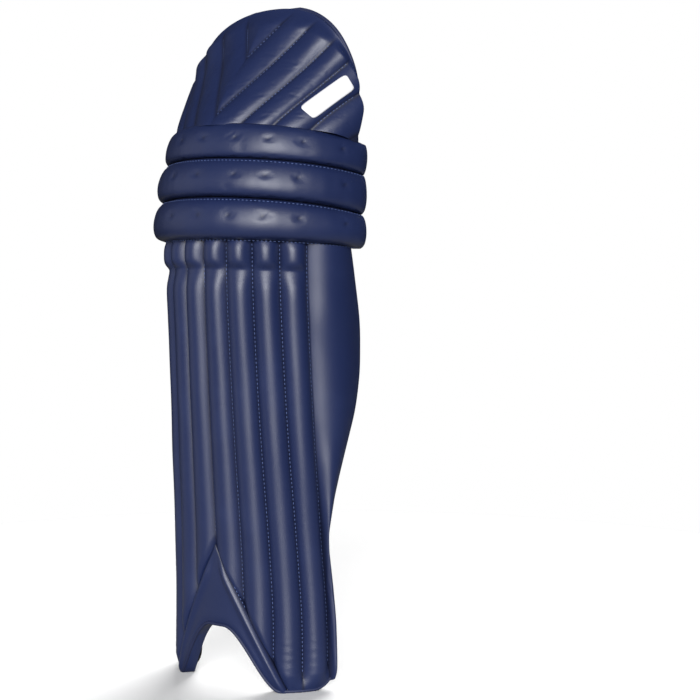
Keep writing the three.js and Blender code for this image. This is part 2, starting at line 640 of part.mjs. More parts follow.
// Each strap is sewn inside on +X, crosses behind the leg, turns back through its ring and lies on itself;
// a loop of the same webbing holds the ring to the -X side
for (const { name, z, width, y, ringX, tailX, sewn, anchor, seat } of STRAPS) {
  const barY = y + LAYER_STEP - TURN_RADIUS;
  const sewnEnd = sewn.map((s) => inside(s, z, seat));
  const [, lastSewn] = sewnEnd;
  const bendY = lerp(lastSewn.y, y, BEND_SHARE);
  const bend = flatPoints([[lastSewn.x - BEND_RUN / 2, bendY], [lastSewn.x - BEND_RUN, y]]);
  const crossing = [...bend, new THREE.Vector2(ringX + RING_DIP_RUN, y)];
  const tail = flatPoints([[tailX, y + LAYER_STEP]]);
  const strapPath = [...sewnEnd, ...crossing, ...halfTurn(ringX, barY, -1), ...tail];
  add(`${name}_strap`, "black", ribbon(strapPath, width, z));

  const farBar = ringX - RING_PITCH;
  const halfHigh = width / 2 + RING_CLEAR;
  const frame = (grow) => {
    const [low, high] = [farBar - grow, ringX + grow];
    const rise = halfHigh + RING_BAR / 2 + grow;
    return [[low, z - rise], [high, z - rise], [high, z + rise], [low, z + rise]];
  };
  const ringNear = barY - RING_THICK / 2;
  add(`${name}_ring`, "plastic", plate(frame(RING_BAR / 2), [frame(-RING_BAR / 2)], ringNear, RING_THICK));

  const anchorEnd = anchor.map((s) => inside(s, z, seat));
  const approach = flatPoints(ANCHOR_IN.map(([dx, dy]) => [farBar + dx, barY + dy]));
  const leave = flatPoints(ANCHOR_OUT.map(([dx, dy]) => [farBar + dx, barY + dy]));
  const anchorPath = [...anchorEnd, ...approach, ...halfTurn(farBar, barY, 1), ...leave];
  add(`${name}_anchor`, "black", ribbon(anchorPath, width, z));
}

// Moulded pull tabs on the turned-back ends, each with its raised trim
for (const { strap, outline, trim, hole } of TABS) {
  const { name, y } = STRAPS[strap];
  const tabNear = y + LAYER_STEP + STRAP_THICK / 2 + GAP;
  add(`${name}_tab`, "rubber", plate(outline, [], tabNear, TAB_THICK));
  add(`${name}_trim`, "silver", plate(trim, [hole], tabNear + TAB_THICK + GAP, TRIM_THICK));
}

export default pad;
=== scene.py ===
"""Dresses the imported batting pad: padded covers, linings, straps, stitching and a plain studio.

Sizes are in millimetres until a mesh is written in metres. +Z is up and the pad's front faces -Y.
"""
import logging
import math
from collections.abc import Callable, Sequence
from dataclasses import dataclass, field
from enum import Enum
from typing import Any, Protocol

import bpy
import numpy as np
from mathutils import Matrix, Vector


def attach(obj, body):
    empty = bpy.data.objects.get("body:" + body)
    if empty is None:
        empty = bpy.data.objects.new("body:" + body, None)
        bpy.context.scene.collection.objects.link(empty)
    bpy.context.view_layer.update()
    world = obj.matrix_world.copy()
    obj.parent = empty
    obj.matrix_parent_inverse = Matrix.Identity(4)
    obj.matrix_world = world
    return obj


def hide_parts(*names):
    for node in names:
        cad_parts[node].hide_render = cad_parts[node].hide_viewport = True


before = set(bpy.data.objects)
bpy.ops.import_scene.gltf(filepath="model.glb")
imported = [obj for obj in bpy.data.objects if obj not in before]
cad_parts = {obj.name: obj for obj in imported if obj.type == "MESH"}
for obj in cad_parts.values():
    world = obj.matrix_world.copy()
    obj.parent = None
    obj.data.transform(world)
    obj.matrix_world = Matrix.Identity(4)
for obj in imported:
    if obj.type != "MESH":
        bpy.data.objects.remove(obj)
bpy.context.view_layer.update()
LOG = logging.getLogger("batting_pad")
MM = 0.001
BODY = "root"

# Width and darkness of the shade painted into seams
SEAM_WIDTH = 1.6
PAINTED_SEAM_SHADE = 0.8
TINY = 1e-9

Array = np.ndarray
Object = bpy.types.Object
Material = bpy.types.Material
Socket = bpy.types.NodeSocket
Colour = tuple[int, int, int]
Pair = tuple[float, float]
Places = tuple[Array, Array]
Coords = Callable[[Array, Array], Places]
Lift = Callable[[Array, Array, Array, Array], Array]


class Slot(Enum):
    """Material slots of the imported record."""

    NAVY = "navy_cover"
    WHITE = "white_cover"
    WHITE_LINING = "white_lining"
    BLACK = "black_lining"
    MESH = "mesh_cover"
    WEBBING = "black_webbing"
    RING = "ring_plastic"
    RUBBER = "tab_rubber"
    TRIM = "tab_trim"


class Side(Enum):
    """Sides of the pad, by the sign of x."""

    RIGHT = 1
    LEFT = -1


def mix(first: Any, last: Any, share: Any) -> Any:
    """Value between a first and a last at a share of the way."""
    return first + (last - first) * share


def smooth_share(value: Any, low: float, high: float) -> Any:
    """Smooth share from 0 at low to 1 at high."""
    share = np.clip((value - low) / (high - low), 0.0, 1.0)
    return share * share * (3 - 2 * share)


def hump(share: Any, fullness: float) -> Any:
    """Rounded hump from 0 at both ends of a share to 1 between them."""
    return 1 - np.abs(2 * share - 1) ** fullness


def bump(distance: Any, width: Any) -> Any:
    """Bell curve of 1 at no distance, falling off over a width."""
    return np.exp(-((distance / width) ** 2))


def eased(share: Any) -> Any:
    """Share whose steps are closer at both ends."""
    return 0.5 - 0.5 * np.cos(math.pi * share)


def painted_seam_shade(away: Any) -> Any:
    """Painted shade of a seam at a distance from it, where shade falls in the groove."""
    return PAINTED_SEAM_SHADE * bump(away, SEAM_WIDTH)


def path_reach(path: Array) -> Array:
    """Distances along a path to each of its points."""
    return np.concatenate([[0], np.cumsum(np.linalg.norm(np.diff(path, axis=0), axis=1))])


def path_points(path: Array, reach: Array, spots: Array) -> Array:
    """Points of a path at spots measured along it."""
    return np.stack([np.interp(spots, reach, values) for values in path.T], -1)


def curve_through(levels: Array, values: Array, z: Array) -> Array:
    """Smooth curve through the rows of a table, level beyond its ends.

    Args:
        levels: heights of the rows, rising.
        values: one value for each row.
        z: heights asked for.

    Returns:
        The values at those heights.
    """
    last = len(levels) - 1
    row = np.arange(last + 1)
    low = np.clip(row - 1, 0, last)
    high = np.clip(row + 1, 0, last)
    slopes = (values[high] - values[low]) / (levels[high] - levels[low])
    k = np.clip(np.searchsorted(levels, z, side="right") - 1, 0, last - 1)
    span = levels[k + 1] - levels[k]
    t = np.clip((z - levels[k]) / span, 0, 1)
    ends = values[k] * (1 - 3 * t**2 + 2 * t**3) + values[k + 1] * (3 * t**2 - 2 * t**3)
    return ends + span * (slopes[k] * (t - 2 * t**2 + t**3) + slopes[k + 1] * (t**3 - t**2))


@dataclass(frozen=True)
class Ripple:
    """Soft uneven surface: a few waves with seeded directions and phases."""

    seed: int
    wave: float
    count: int = 9

    def at(self, a: Array, b: Array) -> Array:
        """Height of the surface.

        Args:
            a: places one way, in millimetres.
            b: places the other way.

        Returns:
            Heights from about -1 to 1.
        """
        draw = np.random.default_rng(self.seed)
        total = np.zeros_like(a + b)
        for _ in range(self.count):
            turn, phase = draw.uniform(0, 2 * math.pi, 2)
            length = self.wave * draw.uniform(0.6, 1.7)
            run = a * math.cos(turn) + b * math.sin(turn)
            total = total + np.sin(2 * math.pi * run / length + phase)
        return total / math.sqrt(2 * self.count)


@dataclass(frozen=True)
class LegForm:
    """The bent sheet round the shin that every leg piece lies on."""

    # level, front line, half width, how far back the sides reach, spread of the seams
    rows: tuple[tuple[float, ...], ...] = (
        (0, -54, 102, 92, 1.1),
        (75, -49, 102, 87, 1.055),
        (150, -49, 101, 87, 1.01),
        (250, -53, 105, 100, 0.985),
        (350, -57, 106, 110, 0.985),
        (430, -59, 107, 113, 0.985),
        (505, -55, 110, 118, 0.985),
        (600, -30, 110, 117, 0.92),
    )

    def place(self, s: Array, z: Array, lift: Array) -> Array:
        """Points of the sheet, lifted level with the floor.

        Args:
            s: distances round from the front line.
            z: heights.
            lift: distances out of the sheet.

        Returns:
            One row of x, y and z for each place.
        """
        table = np.array(self.rows, float)
        front, half, deep, spread = (curve_through(table[:, 0], table[:, k], z) for k in range(1, 5))
        turn = 2 * s * spread / (half + deep)
        along = np.stack([half * np.cos(turn), deep * np.sin(turn)], -1)
        along /= np.linalg.norm(along, axis=-1, keepdims=True)
        x = half * np.sin(turn) + along[..., 1] * lift
        y = front + deep * (1 - np.cos(turn)) - along[..., 0] * lift
        return np.stack([x, y, z + 0 * x], -1)


@dataclass(frozen=True)
class FlapForm:
    """The knee flap's bent sheet, leaning back to its rim."""

    # level, front line, edges
    rows: tuple[tuple[float, float, float], ...] = (
        (555, -46, 56),
        (580, -35, 57),
        (640, 14, 75),
        (700, 61, 70),
    )
    half: float = 114
    section: float = 1.5
    shoulder: float = 593
    top: float = 700
    roundness: float = 2.2
    base_reach: float = 160
    tuck_reach: float = 182
    tuck_under: float = 1.7
    least_turn: float = 0.3

    def place(self, x: Array, z: Array, lift: Array) -> Array:
        """Points of the flap, lifted level with the floor.

        Args:
            x: sideways places.
            z: heights.
            lift: distances out of the sheet.

        Returns:
            One row of x, y and z for each place.
        """
        table = np.array(self.rows, float)
        front, edge = (curve_through(table[:, 0], table[:, k], z) for k in (1, 2))
        share = np.clip(x / self.half, -1, 1)
        flat = (1 - np.abs(share) ** self.section) ** (1 / self.section)
        y = front + (edge - front) * (1 - flat)
        outward = np.stack([share * np.maximum(edge - front, 0), -self.half * flat - self.least_turn], -1)
        outward /= np.linalg.norm(outward, axis=-1, keepdims=True)
        return np.stack([x + outward[..., 0] * lift, y + outward[..., 1] * lift, z + 0 * x], -1)

    def rim(self, x: Array) -> Array:
        """Height of the flap's upper edge.

        Args:
            x: sideways places.

        Returns:
            Heights.
        """
        share = np.minimum(np.abs(x) / self.half, 1)
        rise = (1 - share**self.roundness) ** (1 / self.roundness)
        return self.shoulder + (self.top - self.shoulder) * rise


@dataclass(frozen=True)
class PadForm:
    """Lines shared by the pad's pieces: seams, edges, hem and the padded wall."""

    leg: LegForm = LegForm()
    flap: FlapForm = FlapForm()
    gap: float = 0.3
    lining_gap: float = 0.5
    cane_pitch: float = 29.5
    canes_each_side: int = 4
    cane_fullness: float = 2.2
    roll_seams: tuple[Pair, ...] = ((578, 23), (543, 19), (504, 20), (461, 12))
    arch_reach: float = 180
    arch_height: float = 64
    arch_crown: float = 8
    arch_fullness: float = 0.85
    sole_start: float = 66
    sole_end: float = 100
    heel_rise: float = 19
    heel_run: float = 28
    instep_apex: float = 150
    instep_slope: float = 2
    side_edges: Pair = (126, 139)
    side_widens: Pair = (40, 220)
    wing_rows: tuple[Pair, ...] = (
        (0, 126), (60, 127), (105, 126), (155, 125), (180, 132), (222, 149), (260, 168), (286, 180),
        (309, 187), (336, 191), (363, 192), (395, 188), (430, 181), (470, 171),
    )
    wall_front: float = 16
    wall_side: float = 10
    wall_edge: float = 7
    wall_thins_from: float = 70
    wall_edge_at: float = 180

    @property
    def face_edge(self) -> float:
        """Distance from the front line to the last seam of the canes."""
        return self.cane_pitch * self.canes_each_side

    def roll_seam(self, k: int, s: Array) -> Array:
        """Height of seam k of the knee rolls, counted from the top."""
        z, arch = self.roll_seams[k]
        return z - arch * (s / self.arch_reach) ** 2

    def hem(self, s: Array) -> Array:
        """Height of the pad's lower edge.

        Args:
            s: places round from the front line.

        Returns:
            Heights.
        """
        reach = np.abs(s)
        arch = (1 - smooth_share(reach, self.arch_crown, self.sole_start)) ** self.arch_fullness
        heel = self.heel_rise * (np.maximum(reach - self.sole_end, 0) / self.heel_run) ** 2
        return np.where(reach <= self.sole_end, self.arch_height * arch, heel)

    def instep(self, s: Array) -> Array:
        """Height of the instep panel's slanting seams."""
        return self.instep_apex - self.instep_slope * np.abs(s)

    def under_instep(self, s: Array, z: Array) -> Array:
        """Distance down from the instep panel's seams, square to them."""
        return (self.instep(s) - z) / math.sqrt(1 + self.instep_slope**2)

    def face_low(self, s: Array) -> Array:
        """Height of the canes' lower ends."""
        return np.maximum(self.hem(s), self.instep(s))

    def side_edge(self, z: Array) -> Array:
        """Distance round to the plain side's edge."""
        return mix(*self.side_edges, smooth_share(z, *self.side_widens))

    def wing_edge(self, z: Array) -> Array:
        """Distance round to the wing's edge."""
        table = np.array(self.wing_rows, float)
        return curve_through(table[:, 0], table[:, 1], z)

    def wall(self, s: Array) -> Array:
        """Depth of the padded wall behind the sheet.

        Args:
            s: places round from the front line.

        Returns:
            Depths.
        """
        reach = np.abs(s)
        thinned = smooth_share(reach, self.wall_thins_from, self.face_edge)
        inner = mix(self.wall_front, self.wall_side, thinned)
        past = np.clip((reach - self.face_edge) / (self.wall_edge_at - self.face_edge), 0, 1)
        return np.where(reach < self.face_edge, inner, mix(self.wall_side, self.wall_edge, past))

    def lining_back(self, s: Array) -> Array:
        """Lift of the back of every lining, just inside the wall."""
        return -self.wall(s) - self.lining_gap

    def cane_share(self, s: Array) -> Array:
        """Hump of the fluted canes, 0 on each seam."""
        return hump((np.abs(s) / self.cane_pitch) % 1, self.cane_fullness)


FORM = PadForm()


class Node:
    """A shader value that takes part in Python sums; each step adds a Math node."""

    def __init__(self, graph: "Graph", socket: Socket) -> None:
        """Wraps one output socket of a graph."""
        self.graph = graph
        self.socket = socket

    def _math(self, operation: str, *values: Any) -> "Node":
        """Adds a Math node.

        Args:
            operation: the node's operation.
            values: values or plain numbers.

        Returns:
            The result.
        """
        sockets = dict(enumerate(values))
        made = self.graph.node("ShaderNodeMath", {"operation": operation}, sockets)
        return Node(self.graph, made.outputs[0])

    def __add__(self, other: Any) -> "Node":
        """Sum with another value."""
        return self._math("ADD", self, other)

    def __radd__(self, other: Any) -> "Node":
        """Sum with a number."""
        return self._math("ADD", other, self)

    def __sub__(self, other: Any) -> "Node":
        """Difference from another value."""
        return self._math("SUBTRACT", self, other)

    def __rsub__(self, other: Any) -> "Node":
        """Difference from a number."""
        return self._math("SUBTRACT", other, self)

    def __mul__(self, other: Any) -> "Node":
        """Product with another value."""
        return self._math("MULTIPLY", self, other)

    def __truediv__(self, other: Any) -> "Node":
        """Quotient by another value."""
        return self._math("DIVIDE", self, other)

    def __pow__(self, other: Any) -> "Node":
        """Power of the value."""
        return self._math("POWER", self, other)

    def __mod__(self, other: Any) -> "Node":
        """Remainder that stays positive."""
        return self._math("FLOORED_MODULO", self, other)

    def __abs__(self) -> "Node":
        """Size without the sign."""
        return self._math("ABSOLUTE", self)

    def sine(self) -> "Node":
        """Sine of the value."""
        return self._math("SINE", self)

    def floor(self) -> "Node":
        """Whole part of the value."""
        return self._math("FLOOR", self)

    def least(self, other: Any) -> "Node":
        """Smaller of two values."""
        return self._math("MINIMUM", self, other)

    def ramp(self, low: float, high: float) -> "Node":
        """Smooth share of the way between two numbers.

        Args:
            low: where it leaves 0.
            high: where it reaches 1.

        Returns:
            The share.
        """
        settings = {"interpolation_type": "SMOOTHSTEP"}
        made = self.graph.node("ShaderNodeMapRange", settings, {"Value": self, 1: low, 2: high})
        return Node(self.graph, made.outputs[0])


class Graph:
    """Node tree of one material, with its shader and output in place."""

    def __init__(self, name: str) -> None:
        """Makes a material with no more than a shader.

        Args:
            name: the material's name.
        """
        self.material = bpy.data.materials.new(name)
        self.material.use_nodes = True
        self.tree = self.material.node_tree
        self.tree.nodes.clear()
        self.shader = self.node("ShaderNodeBsdfPrincipled")
        self.node("ShaderNodeOutputMaterial", {}, {"Surface": self.shader.outputs[0]})

    def node(
        self, kind: str, settings: dict[str, Any] | None = None, sockets: dict[Any, Any] | None = None
    ) -> bpy.types.Node:
        """New node, with its settings made before its sockets are filled.

        Args:
            kind: the node's type.
            settings: attributes by name.
            sockets: numbers, colours or links by the input's name or place.

        Returns:
            The node.
        """
        made = self.tree.nodes.new(kind)
        for name, value in (settings or {}).items():
            setattr(made, name, value)
        for key, source in (sockets or {}).items():
            self.feed(made.inputs[key], source)
        return made

    def feed(self, socket: Socket, source: Any) -> None:
        """Links or sets an input.

        Args:
            socket: the input.
            source: a value, a socket, a number or a colour.
        """
        if isinstance(source, Node):
            source = source.socket
        if isinstance(source, Socket):
            self.tree.links.new(source, socket)
        else:
            socket.default_value = source

    def shade(self, **values: Any) -> Material:
        """Fills the shader's inputs.

        Args:
            values: by the input's name, with _ for spaces.

        Returns:
            The material.
        """
        for name, value in values.items():
            self.feed(self.shader.inputs[name.replace("_", " ")], value)
        return self.material

    def value(self, node: bpy.types.Node, output: Any = 0) -> Node:
        """Output of a node as a value."""
        return Node(self, node.outputs[output])

    def object_place(self) -> Socket:
        """Object coordinates."""
        return self.node("ShaderNodeTexCoord").outputs["Object"]

    def sheet_place(self) -> tuple[Node, Node]:
        """Places on the piece's own UV map.

        Returns:
            Places along and up, in millimetres.
        """
        uv = self.node("ShaderNodeTexCoord").outputs["UV"]
        parts = self.node("ShaderNodeSeparateXYZ", {}, {0: uv})
        return self.value(parts, 0) * 1000.0, self.value(parts, 1) * 1000.0

    def noise(self, size: float, detail: float = 2.0) -> Node:
        """Noise of a size in millimetres on Object coordinates."""
        sockets = {"Vector": self.object_place(), "Scale": 1000 / size, "Detail": detail}
        return self.value(self.node("ShaderNodeTexNoise", {}, sockets), 0)

    def attribute(self, name: str) -> Node:
        """Value of a mesh attribute."""
        return self.value(self.node("ShaderNodeAttribute", {"attribute_name": name}), "Fac")

    def blend(self, first: Any, second: Any, share: Any) -> Socket:
        """Colour between two colours."""
        made = self.node("ShaderNodeMix", {"data_type": "RGBA"}, {0: share, 6: first, 7: second})
        return made.outputs[2]

    def relief(self, height: Any, depth: float, strength: float = 1.0) -> Socket:
        """Normal from a height of 0 to 1 that is a depth in millimetres."""
        sockets = {"Height": height, "Distance": depth * MM, "Strength": strength}
        return self.node("ShaderNodeBump", {}, sockets).outputs[0]


def linear(red: int, green: int, blue: int) -> tuple[float, float, float, float]:
    """Linear colour from screen values of 0 to 255.

    Args:
        red: red value.
        green: green value.
        blue: blue value.

    Returns:
        Three shares and an alpha of 1.
    """
    shares = [value / 255 for value in (red, green, blue)]
    steps = [share / 12.92 if share <= 0.04045 else ((share + 0.055) / 1.055) ** 2.4 for share in shares]
    return (*steps, 1.0)


@dataclass(frozen=True)
class CoverFinish:
    """Soft coated leather: fine pebble grain, broad sheen, paler clouding and shade painted into seams and
    tucks.
    """

    name: str
    colour: Colour
    worn: Colour
    # colour of the shade painted into seams and tucks
    deep: Colour
    roughness: float = 0.42
    grain: float = 1.1
    grain_depth: float = 0.10

    def material(self) -> Material:
        """Builds the material.

        Returns:
            The material.
        """
        graph = Graph(self.name)
        place = graph.object_place()
        cells = graph.node(
            "ShaderNodeTexVoronoi",
            {"feature": "DISTANCE_TO_EDGE"},
            {"Vector": place, "Scale": 1000 / self.grain, "Randomness": 1.0},
        )
        pebble = graph.value(cells, "Distance").ramp(0.0, 0.22)
        fine = graph.noise(0.5, 1.0)
        cloud = graph.noise(55.0, 3.0)
        # the seam attribute holds painted shade: darker towards the deep colour in seams and tucks, where
        # shade falls
        seam = graph.attribute("seam")
        base = graph.blend(linear(*self.colour), linear(*self.worn), cloud.ramp(0.45, 0.75) * 0.5)
        with_painted_shade = graph.blend(base, linear(*self.deep), seam)
        rough = self.roughness + (cloud - 0.5) * 0.10 + seam * 0.12
        return graph.shade(
            Base_Color=with_painted_shade,
            Roughness=rough,
            Normal=graph.relief(pebble * 0.75 + fine * 0.25, self.grain_depth, 0.4),
            Specular_IOR_Level=0.65,
        )


@dataclass(frozen=True)
class ClothFinish:
    """Woven lining cloth: a fine plain weave with faint clouding."""

    name: str
    colour: Colour
    shade: Colour
    pitch: float = 0.9
    depth: float = 0.18
    roughness: float = 0.85
    sheen: float = 0.15

    def material(self) -> Material:
        """Builds the material.

        Returns:
            The material.
        """
        graph = Graph(self.name)
        along, up = graph.sheet_place()
        turn = 2 * math.pi / self.pitch
        weave = (along * turn).sine() * (up * turn).sine() * 0.5 + 0.5
        cloud = graph.noise(35.0, 3.0)
        share = cloud.ramp(0.3, 0.7) * 0.6 + weave * 0.4
        tone = graph.blend(linear(*self.shade), linear(*self.colour), share)
        return graph.shade(
            Base_Color=tone,
            Roughness=self.roughness - weave * 0.08,
            Normal=graph.relief(weave, self.depth, 0.6),
            Sheen_Weight=self.sheen,
            Specular_IOR_Level=0.25,
        )


@dataclass(frozen=True)
class KnitFinish:
    """Spacer knit or open mesh: threads round small staggered holes."""

    name: str
    thread: Colour
    hole: Colour
    pitch: float = 2.2
    depth: float = 0.35
    hole_from: float = 0.18
    hole_to: float = 0.36
    roughness: float = 0.9

    def material(self) -> Material:
        """Builds the material: staggered rows of round holes between threads.

        Returns:
            The material.
        """
        graph = Graph(self.name)
        along, up = graph.sheet_place()
        rise = self.pitch * 0.5 * math.sqrt(3)
        row = (up / rise).floor()
        shifted = (along / self.pitch + (row % 2.0) * 0.5) % 1.0 - 0.5
        level = (up / rise) % 1.0 - 0.5
        away = (shifted * shifted + level * level * 0.75) ** 0.5
        thread = away.ramp(self.hole_from, self.hole_to)
        cloud = graph.noise(28.0, 2.0)
        lit = graph.blend(linear(*self.hole), linear(*self.thread), thread * (0.85 + cloud * 0.3))
        return graph.shade(
            Base_Color=lit,
            Roughness=self.roughness,
            Normal=graph.relief(thread, self.depth, 0.8),
            Sheen_Weight=0.04,
            Specular_IOR_Level=0.25,
        )


@dataclass(frozen=True)
class WebbingFinish:
    """Ribbed nylon webbing: short slanting threads in rows along the strap."""

    name: str
    colour: Colour
    shade: Colour
    pitch: float = 2.4
    row: float = 1.7
    depth: float = 0.4

    def material(self) -> Material:
        """Builds the material.

        Returns:
            The material.
        """
        graph = Graph(self.name)
        along, up = graph.sheet_place()
        slant = (up / self.row) % 2.0
        zigzag = abs(slant - 1.0) * 0.9
        thread = ((along / self.pitch + zigzag) * (2 * math.pi)).sine() * 0.5 + 0.5
        rib = ((up / self.row) * (2 * math.pi)).sine() * 0.5 + 0.5
        height = thread * 0.6 + rib * 0.4
        fuzz = graph.noise(0.6, 2.0)
        tone = graph.blend(linear(*self.shade), linear(*self.colour), height * 0.8 + fuzz * 0.2)
        return graph.shade(
            Base_Color=tone,
            Roughness=0.72 - height * 0.15,
            Normal=graph.relief(height, self.depth, 0.8),
            Sheen_Weight=0.06,
            Specular_IOR_Level=0.3,
        )


@dataclass(frozen=True)
class MouldedFinish:
    """Moulded plastic or rubber with a fine sparked texture and rubbed edges."""

    name: str
    colour: Colour
    worn: Colour
    roughness: float
    metallic: float = 0.0
    texture: float = 0.6
    depth: float = 0.05

    def material(self) -> Material:
        """Builds the material.

        Returns:
            The material.
        """
        graph = Graph(self.name)
        spark = graph.noise(self.texture, 2.0)
        cloud = graph.noise(18.0, 3.0)
        edge = graph.value(graph.node("ShaderNodeNewGeometry"), "Pointiness").ramp(0.52, 0.62)
        share = (cloud.ramp(0.4, 0.8) * 0.35 + edge * 0.5).least(1.0)
        return graph.shade(
            Base_Color=graph.blend(linear(*self.colour), linear(*self.worn), share),
            Roughness=self.roughness + (spark - 0.5) * 0.12 + cloud * 0.06,
            Metallic=self.metallic,
            Normal=graph.relief(spark, self.depth, 0.5),
        )


@dataclass(frozen=True)
class ThreadFinish:
    """Twisted sewing thread."""

    name: str
    colour: Colour
    shade: Colour

    def material(self) -> Material:
        """Builds the material.

        Returns:
            The material.
        """
        graph = Graph(self.name)
        fibre = graph.noise(0.35, 2.0)
        return graph.shade(
            Base_Color=graph.blend(linear(*self.shade), linear(*self.colour), fibre),
            Roughness=0.55 + fibre * 0.2,
            Normal=graph.relief(fibre, 0.1, 0.6),
        )


Finish = CoverFinish | ClothFinish | KnitFinish | WebbingFinish | MouldedFinish | ThreadFinish


@dataclass
class Wardrobe:
    """The pad's finishes, each made once."""

    # the third colour of each leather is the shade painted into its seams and tucks
    navy: Finish = CoverFinish("navy_leather", (27, 39, 79), (34, 47, 89), (8, 14, 38))
    binding: Finish = CoverFinish("navy_binding", (24, 34, 72), (32, 43, 84), (10, 16, 42), 0.6)
    white: Finish = CoverFinish("white_leather", (236, 236, 240), (228, 229, 234), (200, 202, 210), 0.5)
    white_cloth: Finish = ClothFinish("white_cloth", (245, 245, 246), (232, 233, 236))
    black_cloth: Finish = ClothFinish("black_cloth", (24, 22, 23), (13, 12, 13), 1.4, 0.25, sheen=0.04)
    black_knit: Finish = KnitFinish("black_knit", (20, 18, 19), (6, 5, 6), pitch=2.4)
    mesh: Finish = KnitFinish("open_mesh", (146, 143, 146), (12, 10, 11), 3.0, 0.6, 0.26, 0.40)
    webbing: Finish = WebbingFinish("nylon_webbing", (32, 30, 31), (11, 10, 11))
    plastic: Finish = MouldedFinish("ring_plastic", (26, 24, 25), (70, 68, 70), 0.34)
    rubber: Finish = MouldedFinish("tab_rubber", (48, 45, 46), (66, 63, 64), 0.58, texture=0.4)
    silver: Finish = MouldedFinish("tab_trim", (206, 206, 208), (232, 232, 234), 0.32, metallic=0.35)
    thread: Finish = ThreadFinish("blue_thread", (108, 128, 186), (72, 90, 144))
    made: dict[str, Material] = field(default_factory=dict)

    def wear(self, piece: Object, finish: Finish) -> None:
        """Puts a finish on a piece as its only material.

        Args:
            piece: the object.
            finish: its finish.
        """
        if finish.name not in self.made:
            self.made[finish.name] = finish.material()
        piece.data.materials.clear()
        piece.data.materials.append(self.made[finish.name])


FINISH = Wardrobe()


def select_only(piece: Object) -> None:
    """Makes one object selected and active, and nothing else.

    Args:
        piece: the object.
    """
    bpy.ops.object.select_all(action="DESELECT")
    piece.select_set(True)
    bpy.context.view_layer.objects.active = piece


def read_points(piece: Object) -> Array:
    """Points of a mesh, in metres.

    Args:
        piece: the object.

    Returns:
        One row of x, y and z for each point.
    """
    points = np.empty(len(piece.data.vertices) * 3)
    piece.data.vertices.foreach_get("co", points)
    return points.reshape(-1, 3)


def write_points(piece: Object, points: Array) -> None:
    """Moves a mesh's points, given in metres."""
    piece.data.vertices.foreach_set("co", np.ascontiguousarray(points).ravel())
    piece.data.update()


def edit_all() -> None:
    """Opens the active piece for editing, with all of it selected."""
    bpy.ops.object.mode_set(mode="EDIT")
    bpy.ops.mesh.select_all(action="SELECT")


def face_outwards() -> None:
    """Turns the active piece's faces outwards."""
    edit_all()
    bpy.ops.mesh.normals_make_consistent(inside=False)
    bpy.ops.object.mode_set(mode="OBJECT")


def smooth_below(degrees: float) -> None:
    """Shades the active piece smooth wherever its faces turn by less than an angle."""
    bpy.ops.object.shade_smooth_by_angle(angle=math.radians(degrees))


def round_edges(piece: Object, width: float, segments: int) -> None:
    """Bevels the sharp edges of the active piece.

    Args:
        piece: the active piece.
        width: the bevel's width in millimetres.
        segments: steps across the bevel.
    """
    bevel = piece.modifiers.new("rounding", "BEVEL")
    bevel.width = width * MM
    bevel.segments = segments
    bevel.limit_method = "ANGLE"
    bpy.ops.object.modifier_apply(modifier=bevel.name)


def install(
    piece: Object, finish: Finish, nodes: Sequence[str] = ()
) -> None:
    """Dresses a finished piece and hands it to the frame.

    Args:
        piece: the finished object.
        finish: its finish.
        nodes: CAD nodes that it stands for.
    """
    FINISH.wear(piece, finish)
    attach(piece, BODY)
    if nodes:
        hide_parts(*nodes)
    LOG.info("%s: %d faces", piece.name, len(piece.data.polygons))


class Form(Protocol):
    """A bent surface that pieces lie on."""

    def place(self, a: Array, b: Array, lift: Array) -> Array:
        """Points at two measures on the form, lifted off it."""


def wall_back(s: Array, z: Array, u: Array, v: Array) -> Array:
    """Lift of the back of the padded wall."""
    return -FORM.wall(s)


